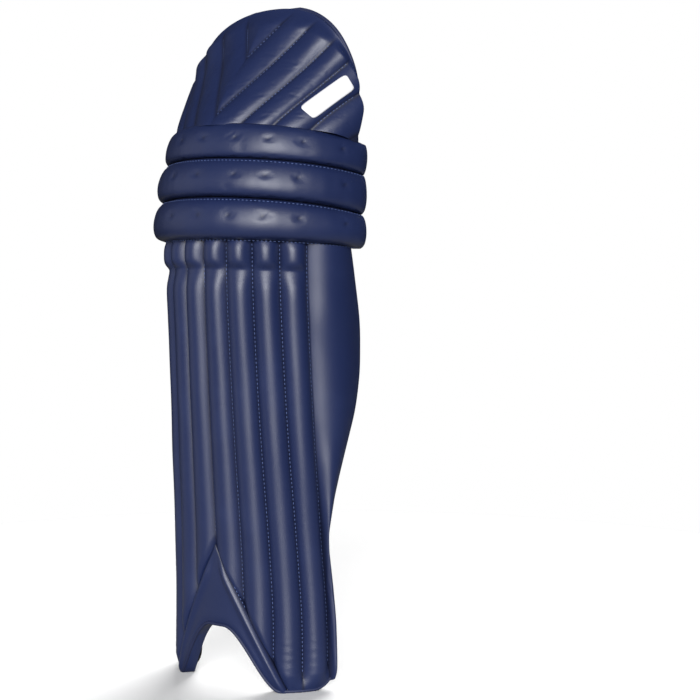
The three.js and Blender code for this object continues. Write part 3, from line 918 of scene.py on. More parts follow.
@dataclass
class Sheet:
    """A padded sheet: a grid extruded once, with every point then laid on a form.

    The grid's shares across and up give places on the form, and the outer and inner lifts its two faces.
    """

    name: str
    cells: tuple[int, int]
    form: Form
    coords: Coords
    outer: Lift
    inner: Lift
    # painted shade from 0 to 1 at each point, darkest in seams and tucks
    seam: Lift | None = None
    sharp: float = 55.0
    shares: Array = field(init=False, repr=False, default=None)
    places: Array = field(init=False, repr=False, default=None)

    def build(self) -> Object:
        """Models the sheet.

        Returns:
            Its object.
        """
        across, up = self.cells
        bpy.ops.mesh.primitive_grid_add(x_subdivisions=across, y_subdivisions=up, size=1, calc_uvs=True)
        piece = bpy.context.object
        piece.name = self.name
        piece.data.name = self.name
        edit_all()
        bpy.ops.mesh.extrude_region_move(TRANSFORM_OT_translate={"value": (0, 0, 1)})
        bpy.ops.object.mode_set(mode="OBJECT")
        grid = read_points(piece)
        u = np.clip(grid[:, 0] + 0.5, 0, 1)
        v = np.clip(grid[:, 1] + 0.5, 0, 1)
        self.shares = np.stack([u, v, grid[:, 2] > 0.5], -1)
        a, b = self.coords(u, v)
        self.places = np.stack([a, b], -1)
        lift = np.where(self.shares[:, 2] > 0.5, self.outer(a, b, u, v), self.inner(a, b, u, v))
        write_points(piece, self.form.place(a, b, lift) * MM)
        self._map_cloth(piece)
        if self.seam is not None:
            self._paint_shade(piece, self.seam(a, b, u, v))
        face_outwards()
        select_only(piece)
        smooth_below(self.sharp)
        return piece

    def held(self, across: Pair, up: Pair, swells: int = 1) -> Array:
        """Points that a swelling leaves in place.

        Args:
            across: the range of shares across that may move.
            up: the range of shares up that may move.
            swells: 1 if the outer face may move, 0 if the inner one may.

        Returns:
            For each point, whether it is held.
        """
        u, v, outer = self.shares.T
        border = (u < across[0]) | (u > across[1]) | (v < up[0]) | (v > up[1])
        return border | (np.abs(outer - swells) > 0.5)

    def _map_cloth(self, piece: Object) -> None:
        """Writes the places on the form as the UV map, in metres.

        Args:
            piece: the object.
        """
        corners = np.empty(len(piece.data.loops), int)
        piece.data.loops.foreach_get("vertex_index", corners)
        layer = piece.data.uv_layers[0]
        layer.data.foreach_set("uv", (self.places[corners] * MM).ravel())

    def _paint_shade(self, piece: Object, values: Array) -> None:
        """Stores the painted shade of each point as the seam attribute, darkest deep in seams and tucks."""
        layer = piece.data.attributes.new("seam", "FLOAT", "POINT")
        layer.data.foreach_set("value", np.clip(values, 0, 1).astype(np.float32))


@dataclass(frozen=True)
class Swelling:
    """Cloth simulation that fills a padded sheet from inside and lets it pucker between its seams."""

    cap: float = 0.8
    slack: float = 0.0
    pressure: float = 4.0
    frames: int = 12
    quality: int = 4
    mass: float = 0.15
    stiffness: float = 20.0
    bending: float = 0.6

    def fill(self, piece: Object, sewn: Array) -> None:
        """Runs the simulation and keeps its result.

        Args:
            piece: the padded sheet.
            sewn: for each point, whether it is held in place.
        """
        before = read_points(piece)
        select_only(piece)
        group = piece.vertex_groups.new(name="sewn")
        group.add([int(k) for k in np.flatnonzero(sewn)], 1.0, "REPLACE")
        cloth = piece.modifiers.new("swelling", "CLOTH")
        cloth.settings.quality = self.quality
        cloth.settings.mass = self.mass
        cloth.settings.tension_stiffness = self.stiffness
        cloth.settings.compression_stiffness = self.stiffness
        cloth.settings.bending_stiffness = self.bending
        cloth.settings.use_pressure = True
        cloth.settings.uniform_pressure_force = self.pressure
        cloth.settings.shrink_min = -self.slack
        cloth.settings.vertex_group_mass = group.name
        cloth.settings.effector_weights.gravity = 0
        cloth.collision_settings.use_collision = False
        for step in range(1, self.frames + 1):
            bpy.context.scene.frame_set(step)
        bpy.ops.object.modifier_apply(modifier=cloth.name)
        bpy.context.scene.frame_set(1)
        moved = read_points(piece) - before
        far = np.linalg.norm(moved, axis=1, keepdims=True)
        limit = self.cap * MM
        write_points(piece, before + moved * np.minimum(1, limit / np.maximum(far, TINY)))
        piece.vertex_groups.clear()
        LOG.info("%s: swelled by up to %.1f mm", piece.name, float(far.max()) / MM)


@dataclass
class ShinFace:
    """Fluted front of the pad, its instep panel, wing and plain side, with the binding along their edges."""

    valley: float = -5.5
    height: float = 9
    crease_below: float = 29
    crease_depth: float = 3.8
    crease_widths: Pair = (5.0, 13.0)
    puff: float = 1.8
    puff_fullness: float = 2.0
    top_pinch: float = 1.2
    top_pinch_run: float = 9
    hem_drop: float = 3
    hem_height: float = 12
    hem_lift: float = -0.5
    hem_flat: Pair = (2, 22)
    instep_lift: float = -2
    instep_gap: float = 0.8
    instep_edge: float = 73.75
    ridge: float = 3.2
    ridge_at: float = 5.0
    ridge_width: float = 3.6
    ridge_from: Pair = (2, 12)
    tuck: float = 1.5
    tuck_run: float = 2.5
    wing_lifts: tuple[float, float, float] = (-5.5, 5.0, -2)
    wing_crest: float = 28
    wing_crest_share: float = 0.45
    wing_foot_edge: float = 126
    wing_top_edge: float = 178
    edge_turn: float = 3.0
    edge_run: float = 6.0
    binding_radius: float = 1.7
    binding_lift: float = -6
    binding_levels: Pair = (448, 24)
    wrinkle_depth: float = 0.28
    wrinkle_pitch: float = 8.5
    wrinkle_bend: float = 1.5
    wrinkle_start: Pair = (8, 18)
    wrinkle_stop: Pair = (42, 66)
    wrinkle_from: Pair = (52, 62)
    pucker_share: float = 0.25
    pucker_below: float = 9
    pucker_reach: float = 7
    pucker_pitch: float = 6
    cells: tuple[int, int] = (144, 150)
    free_across: Pair = (0.001, 0.999)
    free_up: Pair = (0.012, 0.995)
    wing_free_across: Pair = (0.001, 0.93)
    seam_held: float = 0.02
    # two shares up the grid, and the heights that they lie at
    row_bands: Pair = (0.46, 0.74)
    row_levels: Pair = (200, 410)

    def coords(self, u: Array, v: Array) -> Places:
        """Places of the fluted face, with close rows at the crease.

        Args:
            u: shares across.
            v: shares up.

        Returns:
            Places round and heights.
        """
        s = mix(-FORM.face_edge, FORM.face_edge, u)
        top = FORM.roll_seam(3, s) - FORM.gap
        first, second = self.row_bands
        low, high = self.row_levels
        lower = mix(FORM.face_low(s), low, v / first)
        middle = mix(low, high, (v - first) / (second - first))
        upper = mix(high, top, (v - second) / (1 - second))
        return s, np.where(v <= first, lower, np.where(v <= second, middle, upper))

    def hem_dip(self, z: Array, low: Array) -> Array:
        """How far the cover turns in at its lower edge."""
        return self.hem_drop * np.maximum(0, 1 - (z - low) / self.hem_height) ** 2

    def lift(self, s: Array, z: Array, u: Array, v: Array) -> Array:
        """Relief of the fluted face.

        Args:
            s: places round from the front line.
            z: heights.
            u: shares across; not used.
            v: shares up; not used.

        Returns:
            Lifts off the form.
        """
        cane = FORM.cane_share(s)
        below = FORM.roll_seam(3, s) - self.crease_below - z
        dent = self.crease_depth * bump(below, np.where(below < 0, *self.crease_widths))
        over = np.clip(-below / self.crease_below, 0, 1)
        puff = self.puff * hump(over, self.puff_fullness)
        pinch = self.top_pinch * np.maximum(0, 1 - (FORM.roll_seam(3, s) - z) / self.top_pinch_run) ** 2
        flow = 0.5 * Ripple(3, 90).at(s, z * 0.6)
        raised = (self.height - dent + puff - pinch + flow) * cane
        fluted = self.valley + raised + self.wrinkles(s, z) * cane
        clear = smooth_share(z - FORM.hem(s), *self.hem_flat)
        return mix(self.hem_lift, fluted, clear) - self.hem_dip(z, FORM.face_low(s))

    def wrinkles(self, s: Array, z: Array) -> Array:
        """Cross wrinkles of the cover above the soles and under the crease.

        Args:
            s: places round from the front line.
            z: heights.

        Returns:
            Heights of the wrinkles.
        """
        reach = np.abs(s)
        height = smooth_share(z, *self.wrinkle_start) * (1 - smooth_share(z, *self.wrinkle_stop))
        foot = height * smooth_share(reach, *self.wrinkle_from)
        bend = Ripple(5, 60).at(s, z) * self.wrinkle_bend
        uneven = 0.7 + 0.3 * Ripple(6, 40).at(s, z)
        waves = np.sin(2 * math.pi * (z + bend) / self.wrinkle_pitch) * uneven
        below = FORM.roll_seam(3, s) - self.crease_below - z
        turn = 2 * math.pi * below / self.pucker_pitch + Ripple(7, 30).at(s, z)
        puckers = bump(below - self.pucker_below, self.pucker_reach) * np.sin(turn)
        return self.wrinkle_depth * (waves * foot + self.pucker_share * puckers)

    def seam(self, s: Array, z: Array, u: Array, v: Array) -> Array:
        """Painted shade in the cane seams."""
        share = (np.abs(s) / FORM.cane_pitch) % 1
        return painted_seam_shade((1 - np.abs(2 * share - 1)) * FORM.cane_pitch / 2)

    def face(self) -> None:
        """Builds the fluted face and swells its canes between their seams."""
        sheet = Sheet("shin_cover", self.cells, FORM.leg, self.coords, self.lift, wall_back, self.seam)
        piece = sheet.build()
        from_seam = np.abs(((sheet.places[:, 0] / FORM.cane_pitch) + 0.5) % 1 - 0.5)
        sewn = sheet.held(self.free_across, self.free_up) | (from_seam < self.seam_held)
        Swelling().fill(piece, sewn)
        install(piece, FINISH.navy, ["shin_face"])

    def instep(self) -> None:
        """Builds the smooth instep panel with its soft ridges."""

        def coords(u: Array, v: Array) -> Places:
            """Places between the hem and the slanting seams."""
            s = mix(-self.instep_edge, self.instep_edge, u)
            return s, mix(FORM.hem(s), FORM.instep(s) - self.instep_gap, v)

        def lift(s: Array, z: Array, u: Array, v: Array) -> Array:
            """Soft ridge beside the seam over a smooth face.

            Args:
                s: places round from the front line.
                z: heights.
                u: shares across; not used.
                v: shares up; not used.

            Returns:
                Lifts off the form.
            """
            away = FORM.under_instep(s, z)
            apart = smooth_share(np.abs(s), *self.ridge_from)
            ridge = self.ridge * bump(away - self.ridge_at, self.ridge_width) * apart
            tuck = self.tuck * np.maximum(0, 1 - away / self.tuck_run) ** 2
            soft = 0.4 * Ripple(11, 60).at(s, z)
            return self.instep_lift + ridge - tuck + soft - self.hem_dip(z, FORM.hem(s))

        def seam(s: Array, z: Array, u: Array, v: Array) -> Array:
            """Painted shade along the slanting seams."""
            return painted_seam_shade(FORM.under_instep(s, z))

        sheet = Sheet("instep_cover", (84, 44), FORM.leg, coords, lift, wall_back, seam)
        install(sheet.build(), FINISH.navy, ["instep_panel"])

    def wing_lift(self, s: Array, z: Array, away: Array) -> Array:
        """Relief of a side piece, rising from its seam to a crest and falling to its turned edge.

        Args:
            s: places round from the front line.
            z: heights.
            away: distances from its edge.

        Returns:
            Lifts off the form.
        """
        seam, middle, edge = self.wing_lifts
        run = np.abs(s) - FORM.face_edge
        crest = np.minimum(self.wing_crest, self.wing_crest_share * (run + away))
        turn = self.edge_turn * np.maximum(0, 1 - away / self.edge_run) ** 2
        rise = (seam - middle) * np.maximum(0, 1 - run / crest) ** 2
        fall = (edge - middle) * np.maximum(0, (run - crest) / (run + away - crest)) ** 2
        return middle + rise + fall - turn + 0.5 * Ripple(13, 80).at(s, z)

    def side_sheet(
        self, name: str, cells: tuple[int, int], side: Side, ends: Pair, edge: Callable[[Array], Array]
    ) -> Sheet:
        """Plans a piece beside the canes, from their last seam to its own edge.

        Args:
            name: the piece's name.
            cells: cells across and up.
            side: the side of the pad that it is on.
            ends: how far round its foot and its top reach.
            edge: gives the distance round to its edge at a height.

        Returns:
            The sheet, not built yet.
        """
        foot, top = ends

        def reach(u: Array) -> Array:
            """Share of the way from the seam to the edge."""
            return u if side is Side.RIGHT else 1 - u

        def low(u: Array) -> Array:
            """Heights of the lower edge."""
            return FORM.hem(mix(FORM.face_edge, foot, reach(u)))

        def coords(u: Array, v: Array) -> Places:
            """Places between the seam and the edge.

            Args:
                u: shares across.
                v: shares up.

            Returns:
                Places round and heights.
            """
            high = FORM.roll_seam(3, mix(FORM.face_edge, top, reach(u))) - FORM.gap
            z = mix(low(u), high, v)
            return side.value * mix(FORM.face_edge + FORM.gap, edge(z), reach(u)), z

        def lift(s: Array, z: Array, u: Array, v: Array) -> Array:
            """Swell of the piece, turned in at its foot."""
            return self.wing_lift(s, z, edge(z) - np.abs(s)) - self.hem_dip(z, low(u))

        def seam(s: Array, z: Array, u: Array, v: Array) -> Array:
            """Painted shade along the seam to the canes."""
            return painted_seam_shade(np.abs(s) - FORM.face_edge)

        return Sheet(name, cells, FORM.leg, coords, lift, wall_back, seam)

    def sides(self) -> None:
        """Builds the wing beside the calf, which swells, and the plain side panel."""
        ends = (self.wing_foot_edge, self.wing_top_edge)
        wing = self.side_sheet("wing_cover", (36, 130), Side.RIGHT, ends, FORM.wing_edge)
        piece = wing.build()
        Swelling().fill(piece, wing.held(self.wing_free_across, self.free_up))
        install(piece, FINISH.navy, ["side_wing"])
        plain = self.side_sheet("side_cover", (18, 110), Side.LEFT, FORM.side_edges, FORM.side_edge)
        install(plain.build(), FINISH.navy, ["side_panel"])

    def edge_path(self) -> Array:
        """Path of the binding: down the plain side's edge, along the hem and up the wing's edge.

        Returns:
            Points along it.
        """
        levels = np.linspace(*self.binding_levels, 60)
        rounds = np.linspace(-FORM.side_edges[0] + 1, self.wing_foot_edge - 1, 150)
        down = FORM.leg.place(-FORM.side_edge(levels), levels, self.binding_lift)
        hem_lift = self.hem_lift - self.hem_drop
        along = FORM.leg.place(rounds, FORM.hem(rounds) + self.binding_radius, hem_lift)
        levels = levels[::-1]
        rise = FORM.leg.place(FORM.wing_edge(levels), levels, self.binding_lift)
        return np.concatenate([down, along, rise])

    def build(self) -> None:
        """Builds the front's pieces."""
        self.face()
        self.instep()
        self.sides()
        binding = piping("edge_binding", self.edge_path(), self.binding_radius)
        install(binding, FINISH.binding)


def piping(name: str, path: Array, radius: float) -> Object:
    """Round piping swept along a path, as a closed mesh.

    Args:
        name: the piece's name.
        path: points in millimetres.
        radius: the piping's radius in millimetres.

    Returns:
        The piece.
    """
    curve = bpy.data.curves.new(name, "CURVE")
    curve.dimensions = "3D"
    curve.bevel_depth = radius * MM
    curve.bevel_resolution = 3
    curve.use_fill_caps = True
    spline = curve.splines.new("POLY")
    spline.points.add(len(path) - 1)
    spline.points.foreach_set("co", np.concatenate([path * MM, np.ones((len(path), 1))], 1).ravel())
    piece = bpy.data.objects.new(name, curve)
    bpy.context.scene.collection.objects.link(piece)
    select_only(piece)
    bpy.ops.object.convert(target="MESH")
    piece = bpy.context.object
    edit_all()
    bpy.ops.mesh.remove_doubles(threshold=1e-6)
    face_outwards()
    smooth_below(60)
    return piece


@dataclass
class KneeRolls:
    """Three fat rolls sewn one above another, with small tucks pulled into them."""

    names: tuple[str, str, str] = ("knee_roll_top", "knee_roll_middle", "knee_roll_bottom")
    left: float = -178
    right: float = 184
    seam_lift: float = 1
    bulges: tuple[float, float, float] = (8.5, 11.5, 14)
    fullness: float = 2.0
    sag: float = 0.8
    end_run: float = 20
    end_bulge: float = 0.4
    tuck_rows: tuple[tuple[float, ...], ...] = (
        (-150, -112, -75, -38, -2, 36, 70, 105, 147),
        (-148, -110, -73, -37, 0, 41, 71, 102, 150),
        (-145, -105, -68, -30, 7, 39, 71, 104, 151),
    )
    tuck_share: float = 0.6
    tuck_lean: float = 0.6
    tuck_depth: float = 1.1
    tuck_size: Pair = (2.1, 1.5)
    tuck_halo: float = 0.12
    tuck_halo_size: float = 6
    # darkness of the shade painted into the tucks
    painted_tuck_shade: float = 0.45
    tuck_held: float = 0.6
    seam_share: float = 0.05
    cells: tuple[int, int] = (230, 40)
    free: Pair = (0.001, 0.999)

    def tucks(self, k: int, s: Array, z: Array) -> Array:
        """Depth of a roll's tucks.

        Args:
            k: the roll, counted from the top.
            s: places round from the front line.
            z: heights.

        Returns:
            Depths.
        """
        wide, high = self.tuck_size
        total = np.zeros_like(s)
        for place in self.tuck_rows[k]:
            level = mix(FORM.roll_seam(k + 1, place), FORM.roll_seam(k, place), self.tuck_share)
            reach = high * np.where(z > level, self.tuck_lean, 2 - self.tuck_lean)
            away = ((s - place) / wide) ** 2 + ((z - level) / reach) ** 2
            total = total + np.exp(-away) + self.tuck_halo * np.exp(-away / self.tuck_halo_size)
        return self.tuck_depth * total

    def bulge(self, k: int, s: Array, share: Array) -> tuple[Array, Array]:
        """Bulge of a roll.

        Args:
            k: the roll, counted from the top.
            s: places round from the front line.
            share: shares of its height.

        Returns:
            Lifts, and how full the roll is there from 0 to 1.
        """
        from_end = np.minimum(s - self.left, self.right - s) / self.end_run
        end = np.sqrt(np.maximum(1 - (1 - np.minimum(from_end, 1)) ** 2, 0))
        full = np.sqrt(np.maximum(hump(share**self.sag, self.fullness), 0))
        return self.bulges[k] * mix(self.end_bulge, 1, end) * full, full

    def roll(self, k: int) -> None:
        """Builds one roll and swells it.

        Args:
            k: the roll, counted from the top.
        """

        def coords(u: Array, v: Array) -> Places:
            """Places round the roll, with close rows at its seams.

            Args:
                u: shares across.
                v: shares up.

            Returns:
                Places round and heights.
            """
            s = mix(self.left, self.right, u)
            low = FORM.roll_seam(k + 1, s) + FORM.gap / 2
            return s, mix(low, FORM.roll_seam(k, s) - FORM.gap / 2, eased(v))

        def lift(s: Array, z: Array, u: Array, v: Array) -> Array:
            """Bulge of the roll, rounded off at its ends.

            Args:
                s: places round from the front line.
                z: heights.
                u: shares across; not used.
                v: shares up.

            Returns:
                Lifts off the form.
            """
            bulge, full = self.bulge(k, s, eased(v))
            soft = 0.5 * Ripple(20 + k, 70).at(s, z) + 0.25 * Ripple(30 + k, 22).at(s, z * 0.4)
            return self.seam_lift + bulge + (soft - self.tucks(k, s, z)) * full

        def seam(s: Array, z: Array, u: Array, v: Array) -> Array:
            """Painted shade at the seams and in the tucks."""
            sewn = np.maximum(bump(v, self.seam_share), bump(v - 1, self.seam_share))
            return sewn * PAINTED_SEAM_SHADE + self.tucks(k, s, z) * self.painted_tuck_shade

        sheet = Sheet(f"{self.names[k]}_cover", self.cells, FORM.leg, coords, lift, wall_back, seam)
        piece = sheet.build()
        tucked = self.tucks(k, *sheet.places.T) > self.tuck_depth * self.tuck_held
        Swelling(cap=1.0, slack=0.004).fill(piece, sheet.held(self.free, self.free) | tucked)
        install(piece, FINISH.navy, [self.names[k]])

    def build(self) -> None:
        """Builds the three rolls."""
        for k in range(len(self.names)):
            self.roll(k)


@dataclass
class KneeFlap:
    """Domed flap over the knee: fanned channels, a bare white patch, white lining and a piped rim."""

    slope: float = 1.5
    levels: tuple[float, ...] = (392, 436, 484, 530, 587, 647, 720)
    channel_height: float = 5
    wall: float = 14
    rim_wall: float = 8
    rim_drop: float = 3
    rim_start: float = 0.85
    patch_corners: tuple[Pair, ...] = ((76, 592), (89, 579), (109, 609), (101, 625))
    patch_thick: float = 1.2
    patch_round: float = 9
    patch_centre: float = 1e-12
    patch_size: Pair = (18, 36)
    patch_edge: float = 0.35
    patch_turn: float = 1.2
    lining_share: float = 0.9
    lining_rise: float = 0.93
    lining_gap: float = 1.2
    lining_thick: float = 2.5
    lining_puff: float = 0.8
    full_across: float = 8
    full_up: float = 6
    piping_radius: float = 2.5
    piping_foot: float = 0.15
    least_step: float = 0.4
    seam_width: float = 1.7
    seam_held: float = 0.9
    cells: tuple[int, int] = (190, 110)
    free_across: Pair = (0.001, 0.999)
    free_up: Pair = (0.001, 0.93)

    def between(self, u: Array, v: Array, low: Callable[[Array], Array]) -> Places:
        """Places between a foot line and the rim.

        Args:
            u: shares across.
            v: shares up.
            low: gives heights of the foot line at shares of -1 to 1 across.

        Returns:
            Sideways places and heights.
        """
        side = 2 * u - 1
        x = FORM.flap.half * np.sin(side * math.pi / 2)
        return x, mix(low(side), FORM.flap.rim(x), v)

    def foot(self, side: Array) -> Array:
        """Height of the flap's foot on the top roll, at shares of -1 to 1 across."""
        return FORM.roll_seam(0, side * FORM.flap.base_reach) + FORM.gap

    def tucked_foot(self, side: Array) -> Array:
        """Height of the cover's foot, tucked in behind the top roll."""
        return FORM.roll_seam(0, side * FORM.flap.tuck_reach) - FORM.flap.tuck_under

    def coords(self, u: Array, v: Array) -> Places:
        """Places of the flap from shares across and up."""
        return self.between(u, v, self.foot)

    def cover_coords(self, u: Array, v: Array) -> Places:
        """Places of the flap's cover."""
        return self.between(u, v, self.tucked_foot)

    def rise(self, x: Array, z: Array) -> Array:
        """Share of the way up from the flap's foot to its rim.

        Args:
            x: sideways places.
            z: heights.

        Returns:
            The share at each place.
        """
        side = np.arcsin(np.clip(x / FORM.flap.half, -1, 1)) * 2 / math.pi
        low = self.foot(side)
        return (z - low) / (FORM.flap.rim(x) - low)

    def channel(self, x: Array, z: Array) -> tuple[Array, Array]:
        """Finds the fanned channel at a place.

        Args:
            x: sideways places.
            z: heights.

        Returns:
            Share across the channel, and its width.
        """
        level = z - self.slope * np.abs(x)
        lines = np.array(self.levels, float)
        k = np.clip(np.searchsorted(lines, level, side="right"), 1, len(lines) - 1)
        width = lines[k] - lines[k - 1]
        return np.clip((level - lines[k - 1]) / width, 0, 1), width / math.sqrt(1 + self.slope**2)

    def rim_share(self, v: Array) -> Array:
        """How far a place is into the flap's thin rim."""
        return smooth_share(v, self.rim_start, 1)

    def lift(self, x: Array, z: Array, u: Array, v: Array) -> Array:
        """Relief of the channels, falling to the rim.

        Args:
            x: sideways places.
            z: heights.
            u: shares across; not used.
            v: shares up.

        Returns:
            Lifts off the form.
        """
        share, _ = self.channel(x, z)
        soft = 0.4 * Ripple(41, 50).at(x, z)
        full = (self.channel_height + soft) * np.maximum(hump(share, FORM.cane_fullness), 0)
        return mix(full, -self.rim_drop, self.rim_share(v))

    def inner(self, x: Array, z: Array, u: Array, v: Array) -> Array:
        """Back of the flap's padding."""
        return -mix(self.wall, self.rim_wall, self.rim_share(v))

    def seam(self, x: Array, z: Array, u: Array, v: Array) -> Array:
        """Painted shade in the channel seams.

        Args:
            x: sideways places.
            z: heights.
            u: shares across; not used.
            v: shares up.

        Returns:
            Painted shade from 0 to 1.
        """
        share, width = self.channel(x, z)
        away = np.minimum(share, 1 - share) * width
        return bump(away, self.seam_width) * PAINTED_SEAM_SHADE * (1 - self.rim_share(v))

    def cover(self) -> None:
        """Builds the padded cover and swells its channels."""
        faces = (self.lift, self.inner, self.seam)
        sheet = Sheet("knee_flap_cover", self.cells, FORM.flap, self.cover_coords, *faces)
        piece = sheet.build()
        share, width = self.channel(*sheet.places.T)
        sewn = np.minimum(share, 1 - share) * width < self.seam_held
        Swelling(slack=0.002).fill(piece, sheet.held(self.free_across, self.free_up) | sewn)
        install(piece, FINISH.navy, ["knee_flap"])

    def patch_place(self, u: Array, v: Array) -> Places:
        """Places of the white patch, a slanting strip with rounded corners.

        Args:
            u: shares across.
            v: shares up.

        Returns:
            Sideways places and heights.
        """
        p = 2 * u - 1
        q = 2 * v - 1
        square = np.maximum(np.maximum(np.abs(p), np.abs(q)), TINY)
        power = self.patch_round
        inward = square / (np.abs(p) ** power + np.abs(q) ** power + self.patch_centre) ** (1 / power)
        across = p * inward * 0.5 + 0.5
        along = q * inward * 0.5 + 0.5
        corners = np.array(self.patch_corners)
        low = mix(corners[0], corners[1], across[..., None])
        high = mix(corners[3], corners[2], across[..., None])
        place = mix(low, high, along[..., None])
        return place[..., 0], place[..., 1]

    def surface(self, x: Array, z: Array) -> Array:
        """Lift of the flap's cover at a place."""
        share = self.rise(x, z)
        return self.lift(x, z, share, share)

    def patch(self) -> None:
        """Builds the bare white patch lying on the flap."""

        def outer(x: Array, z: Array, u: Array, v: Array) -> Array:
            """Face of the patch, turned down at its edges.

            Args:
                x: sideways places.
                z: heights.
                u: shares across.
                v: shares up.

            Returns:
                Lifts off the form.
            """
            wide, long = self.patch_size
            away = np.minimum(np.minimum(u, 1 - u) * wide, np.minimum(v, 1 - v) * long)
            full = np.minimum(1, self.patch_edge + away / self.patch_turn)
            return self.surface(x, z) + FORM.gap + self.patch_thick * full

        def inner(x: Array, z: Array, u: Array, v: Array) -> Array:
            """Back of the patch."""
            return self.surface(x, z) + FORM.gap * 0.5

        sheet = Sheet("flap_patch_cover", (22, 44), FORM.flap, self.patch_place, outer, inner)
        install(sheet.build(), FINISH.white, ["flap_patch"])

    def lining(self) -> None:
        """Builds the white lining behind the flap, with soft folds over its lower edge."""

        def coords(u: Array, v: Array) -> Places:
            """Places of the lining inside the rim."""
            return self.coords((2 * u - 1) * self.lining_share * 0.5 + 0.5, v * self.lining_rise)

        def near(x: Array, z: Array, u: Array, v: Array) -> Array:
            """Back of the lining, on the padding."""
            return self.inner(x, z, u, v * self.lining_rise) - self.lining_gap

        def far(x: Array, z: Array, u: Array, v: Array) -> Array:
            """Shown face of the lining, with soft folds.

            Args:
                x: sideways places.
                z: heights.
                u: shares across.
                v: shares up.

            Returns:
                Lifts off the form.
            """
            inside = hump(np.clip(u, 0, 1), self.full_across) * hump(np.clip(v, 0, 1), self.full_up)
            folds = 0.9 * Ripple(51, 75).at(x * 0.6, z * 1.6) + 0.5 * Ripple(52, 34).at(x * 0.5, z * 1.5)
            return near(x, z, u, v) - self.lining_thick - (self.lining_puff + folds) * np.maximum(inside, 0)

        sheet = Sheet("flap_back_cover", (120, 70), FORM.flap, coords, near, far)
        install(sheet.build(), FINISH.white_cloth, ["flap_lining"])

    def rim_path(self) -> Array:
        """Path of the piping round the back of the rim.

        Returns:
            Points along it.
        """
        side = np.concatenate([np.full(12, -1.0), np.linspace(-1, 1, 90), np.full(12, 1.0)])
        rise = np.linspace(self.piping_foot, 1, 12)
        v = np.concatenate([rise, np.ones(90), rise[::-1]])
        x, z = self.coords(side * 0.5 + 0.5, v)
        path = FORM.flap.place(x, z, np.full(len(x), -self.rim_wall))
        path[:, 1] += FORM.gap + self.piping_radius
        path[:, 2] = np.minimum(path[:, 2], FORM.flap.top - self.piping_radius)
        keep = np.concatenate([[True], np.linalg.norm(np.diff(path, axis=0), axis=1) > self.least_step])
        return path[keep]

    def build(self) -> None:
        """Builds the flap's pieces."""
        self.cover()
        self.patch()
        self.lining()
        rim = piping("flap_rim_piping", self.rim_path(), self.piping_radius)
        install(rim, FINISH.binding, ["flap_piping"])


